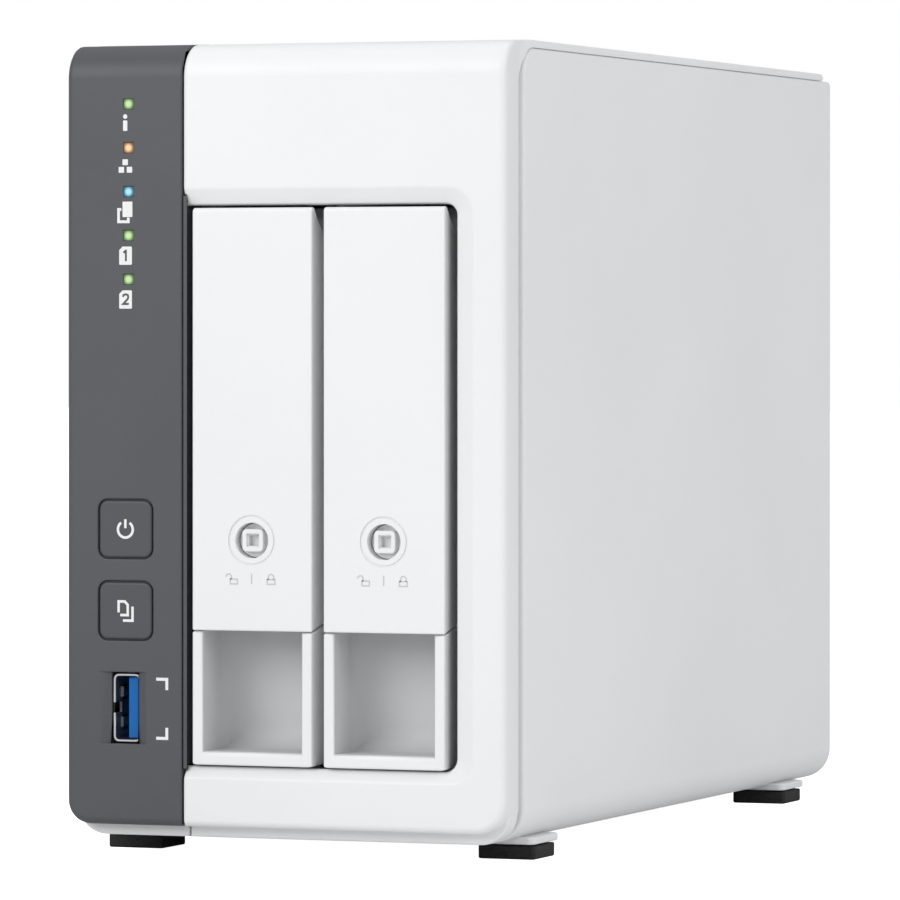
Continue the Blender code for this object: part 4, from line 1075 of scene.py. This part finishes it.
def build_power_inlet():
    box, (x, z) = span("dc_jack"), middle("dc_jack_pin")
    jack = block((box.left, box.right), (box.front, REAR.front - GAP), (box.low, box.high))
    barrel, bore = 4.1, 3.2
    join(jack, disc((x, z), barrel, (190.0, box.back)))
    cut(jack, disc((x, z), bore, (187.0, box.back + 5.0)))
    soften(jack, lambda u, depth, v: 0.25 if depth > box.back - 0.1 else 0.1, 2)
    piece(jack, "power_inlet", "chassis", "black_plastic", [BLACK], "dc_jack")
    pin = spun((x, z), ((1.0, 187.6), (1.0, 195.6), (0.85, 196.3), (0.5, 196.6)), 24)
    piece(pin, "power_inlet_pin", "chassis", "steel", [TURNED], "dc_jack_pin")


def build_reset_key():
    node = "reset_button"
    box, collar = span(node), 190.0
    profile = ((2.0, box.front), (2.0, collar), (1.1, collar), (1.1, box.back - 0.3), (0.8, box.back))
    key = spun((middle("dc_jack_pin")[0], middle(node)[1]), profile, 24)
    piece(key, "reset_key", node, "black_plastic", [BLACK], node)


def build_fan():
    """The frame: two flanges, a round wall between them, a post at each screw and a hub on struts."""
    box, (x, z) = span("fan_frame"), FAN
    half = (box.right - box.left) / 2
    inner = (box.front + 2.0, box.back - 2.0)
    casing = slabs("depth", box.front, box.back, square(x, z, half, 3.0))
    bores = [circle(x, z, 28.5, 72), *(circle(*middle(screw), 2.0, 20) for screw in FAN_SCREWS)]
    cut(casing, slabs("depth", box.front - 1.0, box.back + 1.0, *bores))
    reach = half + 1.0
    relief = block((x - reach, x + reach), (box.front + 3.0, box.back - 3.0), (z - reach, z + reach))
    cut(relief, slabs("depth", *inner, circle(x, z, 29.9, 72)))
    cut(relief, slabs("depth", *inner, *(square(*middle(screw), 3.4, 3.2) for screw in FAN_SCREWS)))
    cut(casing, relief)
    join(casing, disc((x, z), 13.0, (box.front, box.front + 2.5), 48))
    for turn in (math.radians(30 + 120 * index) for index in range(3)):
        along, across = Vector((math.sin(turn), math.cos(turn))), Vector((math.cos(turn), -math.sin(turn)))
        corners = ((10, -1.6), (10, 1.6), (29, 1.6), (29, -1.6))
        strut = [Vector((x, z)) + along * reach + across * side for reach, side in corners]
        join(casing, slabs("depth", box.front, box.front + 2.5, strut))
    soften(casing, lambda u, depth, v: 0.3 if depth > box.back - 0.1 else 0.0, 2)
    piece(casing, "fan_casing", "chassis", "black_plastic", [BLACK], "fan_frame")


def build_rotor():
    low, high, radius = 178.2, 194.0, 12.5
    rim = ((11.6, low), (radius, 179.0), (radius, 193.4), (11.9, high), (8.6, high), (8.4, 193.7))
    hub = spun(FAN, rim, 48)
    shape = bmesh.new()
    for index in range(7):
        add_blade(shape, 2 * math.pi * index / 7, (low + high) / 2)
    join(hub, new_object(shape))
    piece(hub, "fan_impeller", "fan_rotor", "black_plastic", [BLACK], "fan_rotor")


def add_blade(shape, angle, depth):
    """One twisted, slightly cupped blade: its pitch falls from root to tip."""
    x, z = FAN
    runs = [step / 6 - 1 for step in range(13)]
    upper = [(run, 0.12 + 0.42 * math.sqrt(max(0.0, 1 - run * run))) for run in runs]
    section = upper + [(run, -lift) for run, lift in reversed(upper)]
    rings = []
    stations = ((11.5, 7.4, 52.0), (15.3, 8.0, 45.6), (19.0, 8.5, 40.0), (23.2, 9.0, 35.2), (27.2, 9.2, 31.0))
    for radius, half_chord, pitch in stations:
        sine, cosine = math.sin(math.radians(pitch)), math.cos(math.radians(pitch))
        ring = []
        for run, lift in section:
            lift += 0.54 * (run * run - 0.5)
            turn = angle + (run * half_chord * cosine - lift * sine) / radius
            back = run * half_chord * sine + lift * cosine
            ring.append(place(x + radius * math.sin(turn), depth + back, z + radius * math.cos(turn)))
        rings.append(ring)
    loft(shape, rings)


def build_screws():
    """Domed cross-head screws."""
    for node in FAN_SCREWS + CASE_SCREWS:
        box, (x, z) = span(node), middle(node)
        head, back, under = (box.right - box.left) / 2, box.back, REAR.back + GAP
        shank, arm, tip = head * 0.55, head * 0.5, head * 0.16
        steps = ((1.0, 0.7), (0.93, 0.35), (0.7, 0.08), (0.35, 0.0))
        dome = ((head * share, back - drop) for share, drop in steps)
        screw = spun((x, z), ((shank, box.front), (shank, under), (head, under), *dome), 32)
        quarter = [Vector((-arm, -tip)), Vector((-tip, -tip)), Vector((-tip, -arm))]
        cross = [Matrix.Rotation(math.pi / 2 * turn, 2) @ point for turn in range(4) for point in quarter]
        shape = bmesh.new()
        ends = ((back - 0.95, 0.45), (back + 0.2, 1.08))
        loft(shape, [[place(x + u * size, depth, z + v * size) for u, v in cross] for depth, size in ends])
        cut(screw, new_object(shape))
        piece(screw, f"{node}_cross_head", "chassis", "steel", [TURNED], node)


# ---------------------------------------------------------------- inside


def finish_kept_nodes():
    """The CAD nodes whose shape is right keep it, with rounded edges and a finish."""
    finishes = {
        "drive_cage": plated("zinc_sheet", (0.6, 0.61, 0.63), 0.36, (1.0, 0.15, 1.0)),
        "processor": BLACK, "backplane_slot": BLACK, "sata_socket": BLACK,
        "power_switch": BLACK, "copy_switch": BLACK,
        "heat_sink": CAST, "mainboard": BOARD, "front_panel_board": BOARD, "backplane_board": BOARD,
        "hinge_pin": TURNED, "drive_clip": WHITE,
    }
    for name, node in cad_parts.items():
        if node.hide_render:
            continue
        finish = next(made for start, made in finishes.items() if name.startswith(start))
        node.data.materials.clear()
        node.data.materials.append(finish)
        weld = node.modifiers.new("joined corners", "WELD")
        weld.merge_threshold = 0.000001
        flat = node.modifiers.new("whole faces", "DECIMATE")
        flat.decimate_type, flat.angle_limit = "DISSOLVE", math.radians(1)
        edges = node.modifiers.new("rounded edges", "BEVEL")
        edges.width, edges.segments, edges.limit_method, edges.angle_limit = 0.15 * MM, 2, "ANGLE", SHARP
        node.modifiers.new("even shading", "WEIGHTED_NORMAL").keep_sharp = True


# ---------------------------------------------------------------- studio


def make_floor():
    shape = bmesh.new()
    bmesh.ops.create_grid(shape, x_segments=1, y_segments=1, size=6.0)
    floor = new_object(shape, "floor")
    paper = Finish("pale_paper", roughness=0.9, specular_ior_level=0.1, emission_color=(1.0, 1.0, 1.0, 1.0))
    tones = ((0.3, (0.86, 0.86, 0.86)), (0.7, (0.88, 0.88, 0.88)))
    paper.set("Base Color", paper.colours(paper.noise(3.0), *tones))
    paper.set("Emission Strength", paper.add("LightPath", {}).outputs["Is Camera Ray"])
    floor.data.materials.append(paper.made)
    floor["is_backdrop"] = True


def add_light(name, location, target, size, power):
    lamp = bpy.data.lights.new(name, "AREA")
    lamp.shape, lamp.size, lamp.size_y = "RECTANGLE", *size
    lamp.energy = power
    holder = bpy.data.objects.new(name, lamp)
    bpy.context.scene.collection.objects.link(holder)
    holder.location = location
    holder.rotation_euler = (Vector(target) - Vector(location)).to_track_quat("-Z", "Y").to_euler()


def set_up_studio():
    make_floor()
    scene = bpy.context.scene
    scene.view_settings.view_transform = "Standard"
    world = bpy.data.worlds.new("studio")
    scene.world = world
    world.use_nodes = True
    tree = world.node_tree
    tree.nodes.clear()
    seen_directly = add_node(tree, "LightPath", {}).outputs["Is Camera Ray"]
    seen = add_node(tree, "Background", {"Color": (1.0, 1.0, 1.0, 1.0)}).outputs[0]
    lit = add_node(tree, "Background", {"Color": (0.985, 0.99, 1.0, 1.0), "Strength": 0.52}).outputs[0]
    mix = add_node(tree, "MixShader", {0: seen_directly, 1: lit, 2: seen})
    add_node(tree, "OutputWorld", {"Surface": mix.outputs[0]})
    middle = (0.0, 0.0, 0.08)
    add_light("key", (-0.55, -1.3, 0.75), middle, (0.9, 0.9), 9.9)
    add_light("fill", (1.3, -0.5, 0.7), middle, (1.0, 1.0), 6.0)
    add_light("top", (0.0, 0.1, 1.3), middle, (1.2, 1.2), 3.0)


def add_camera():
    lens = bpy.data.cameras.new("camera")
    lens.sensor_width, lens.lens, lens.shift_y = 36.0, 261.2, -0.1407
    lens.clip_start, lens.clip_end = 0.01, 50.0
    camera = bpy.data.objects.new("camera", lens)
    bpy.context.scene.collection.objects.link(camera)
    camera.location = (0.4689, -1.2492, 0.10198)
    camera.rotation_euler = (math.pi / 2, 0.0, math.radians(20.76))
    bpy.context.scene.camera = camera


build_front_top_cover()
build_control_panel()
build_side_cover("left_cover", -1)
build_side_cover("right_cover", 1)
build_feet()
build_lights()
build_printed_marks()
build_buttons()
build_usb_port("front_usb_shell", "front_usb_tongue", "front_port", BLUE)
for port in PAIR:
    build_usb_port(f"rear_usb_shell_{port}", f"rear_usb_tongue_{port}", f"rear_port_{port}", BLACK)
for tray in PAIR:
    build_tray(tray)
    build_handle(tray)
    build_drive(tray)
build_rear_panel()
for jack in PAIR:
    build_lan_jack(jack)
build_power_inlet()
build_reset_key()
build_fan()
build_rotor()
build_screws()
finish_kept_nodes()
set_up_studio()
add_camera()

boxes = {"cad": CAD_BOX, "visual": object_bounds()}
{name: [list(corner) for corner in box] for name, box in boxes.items()}
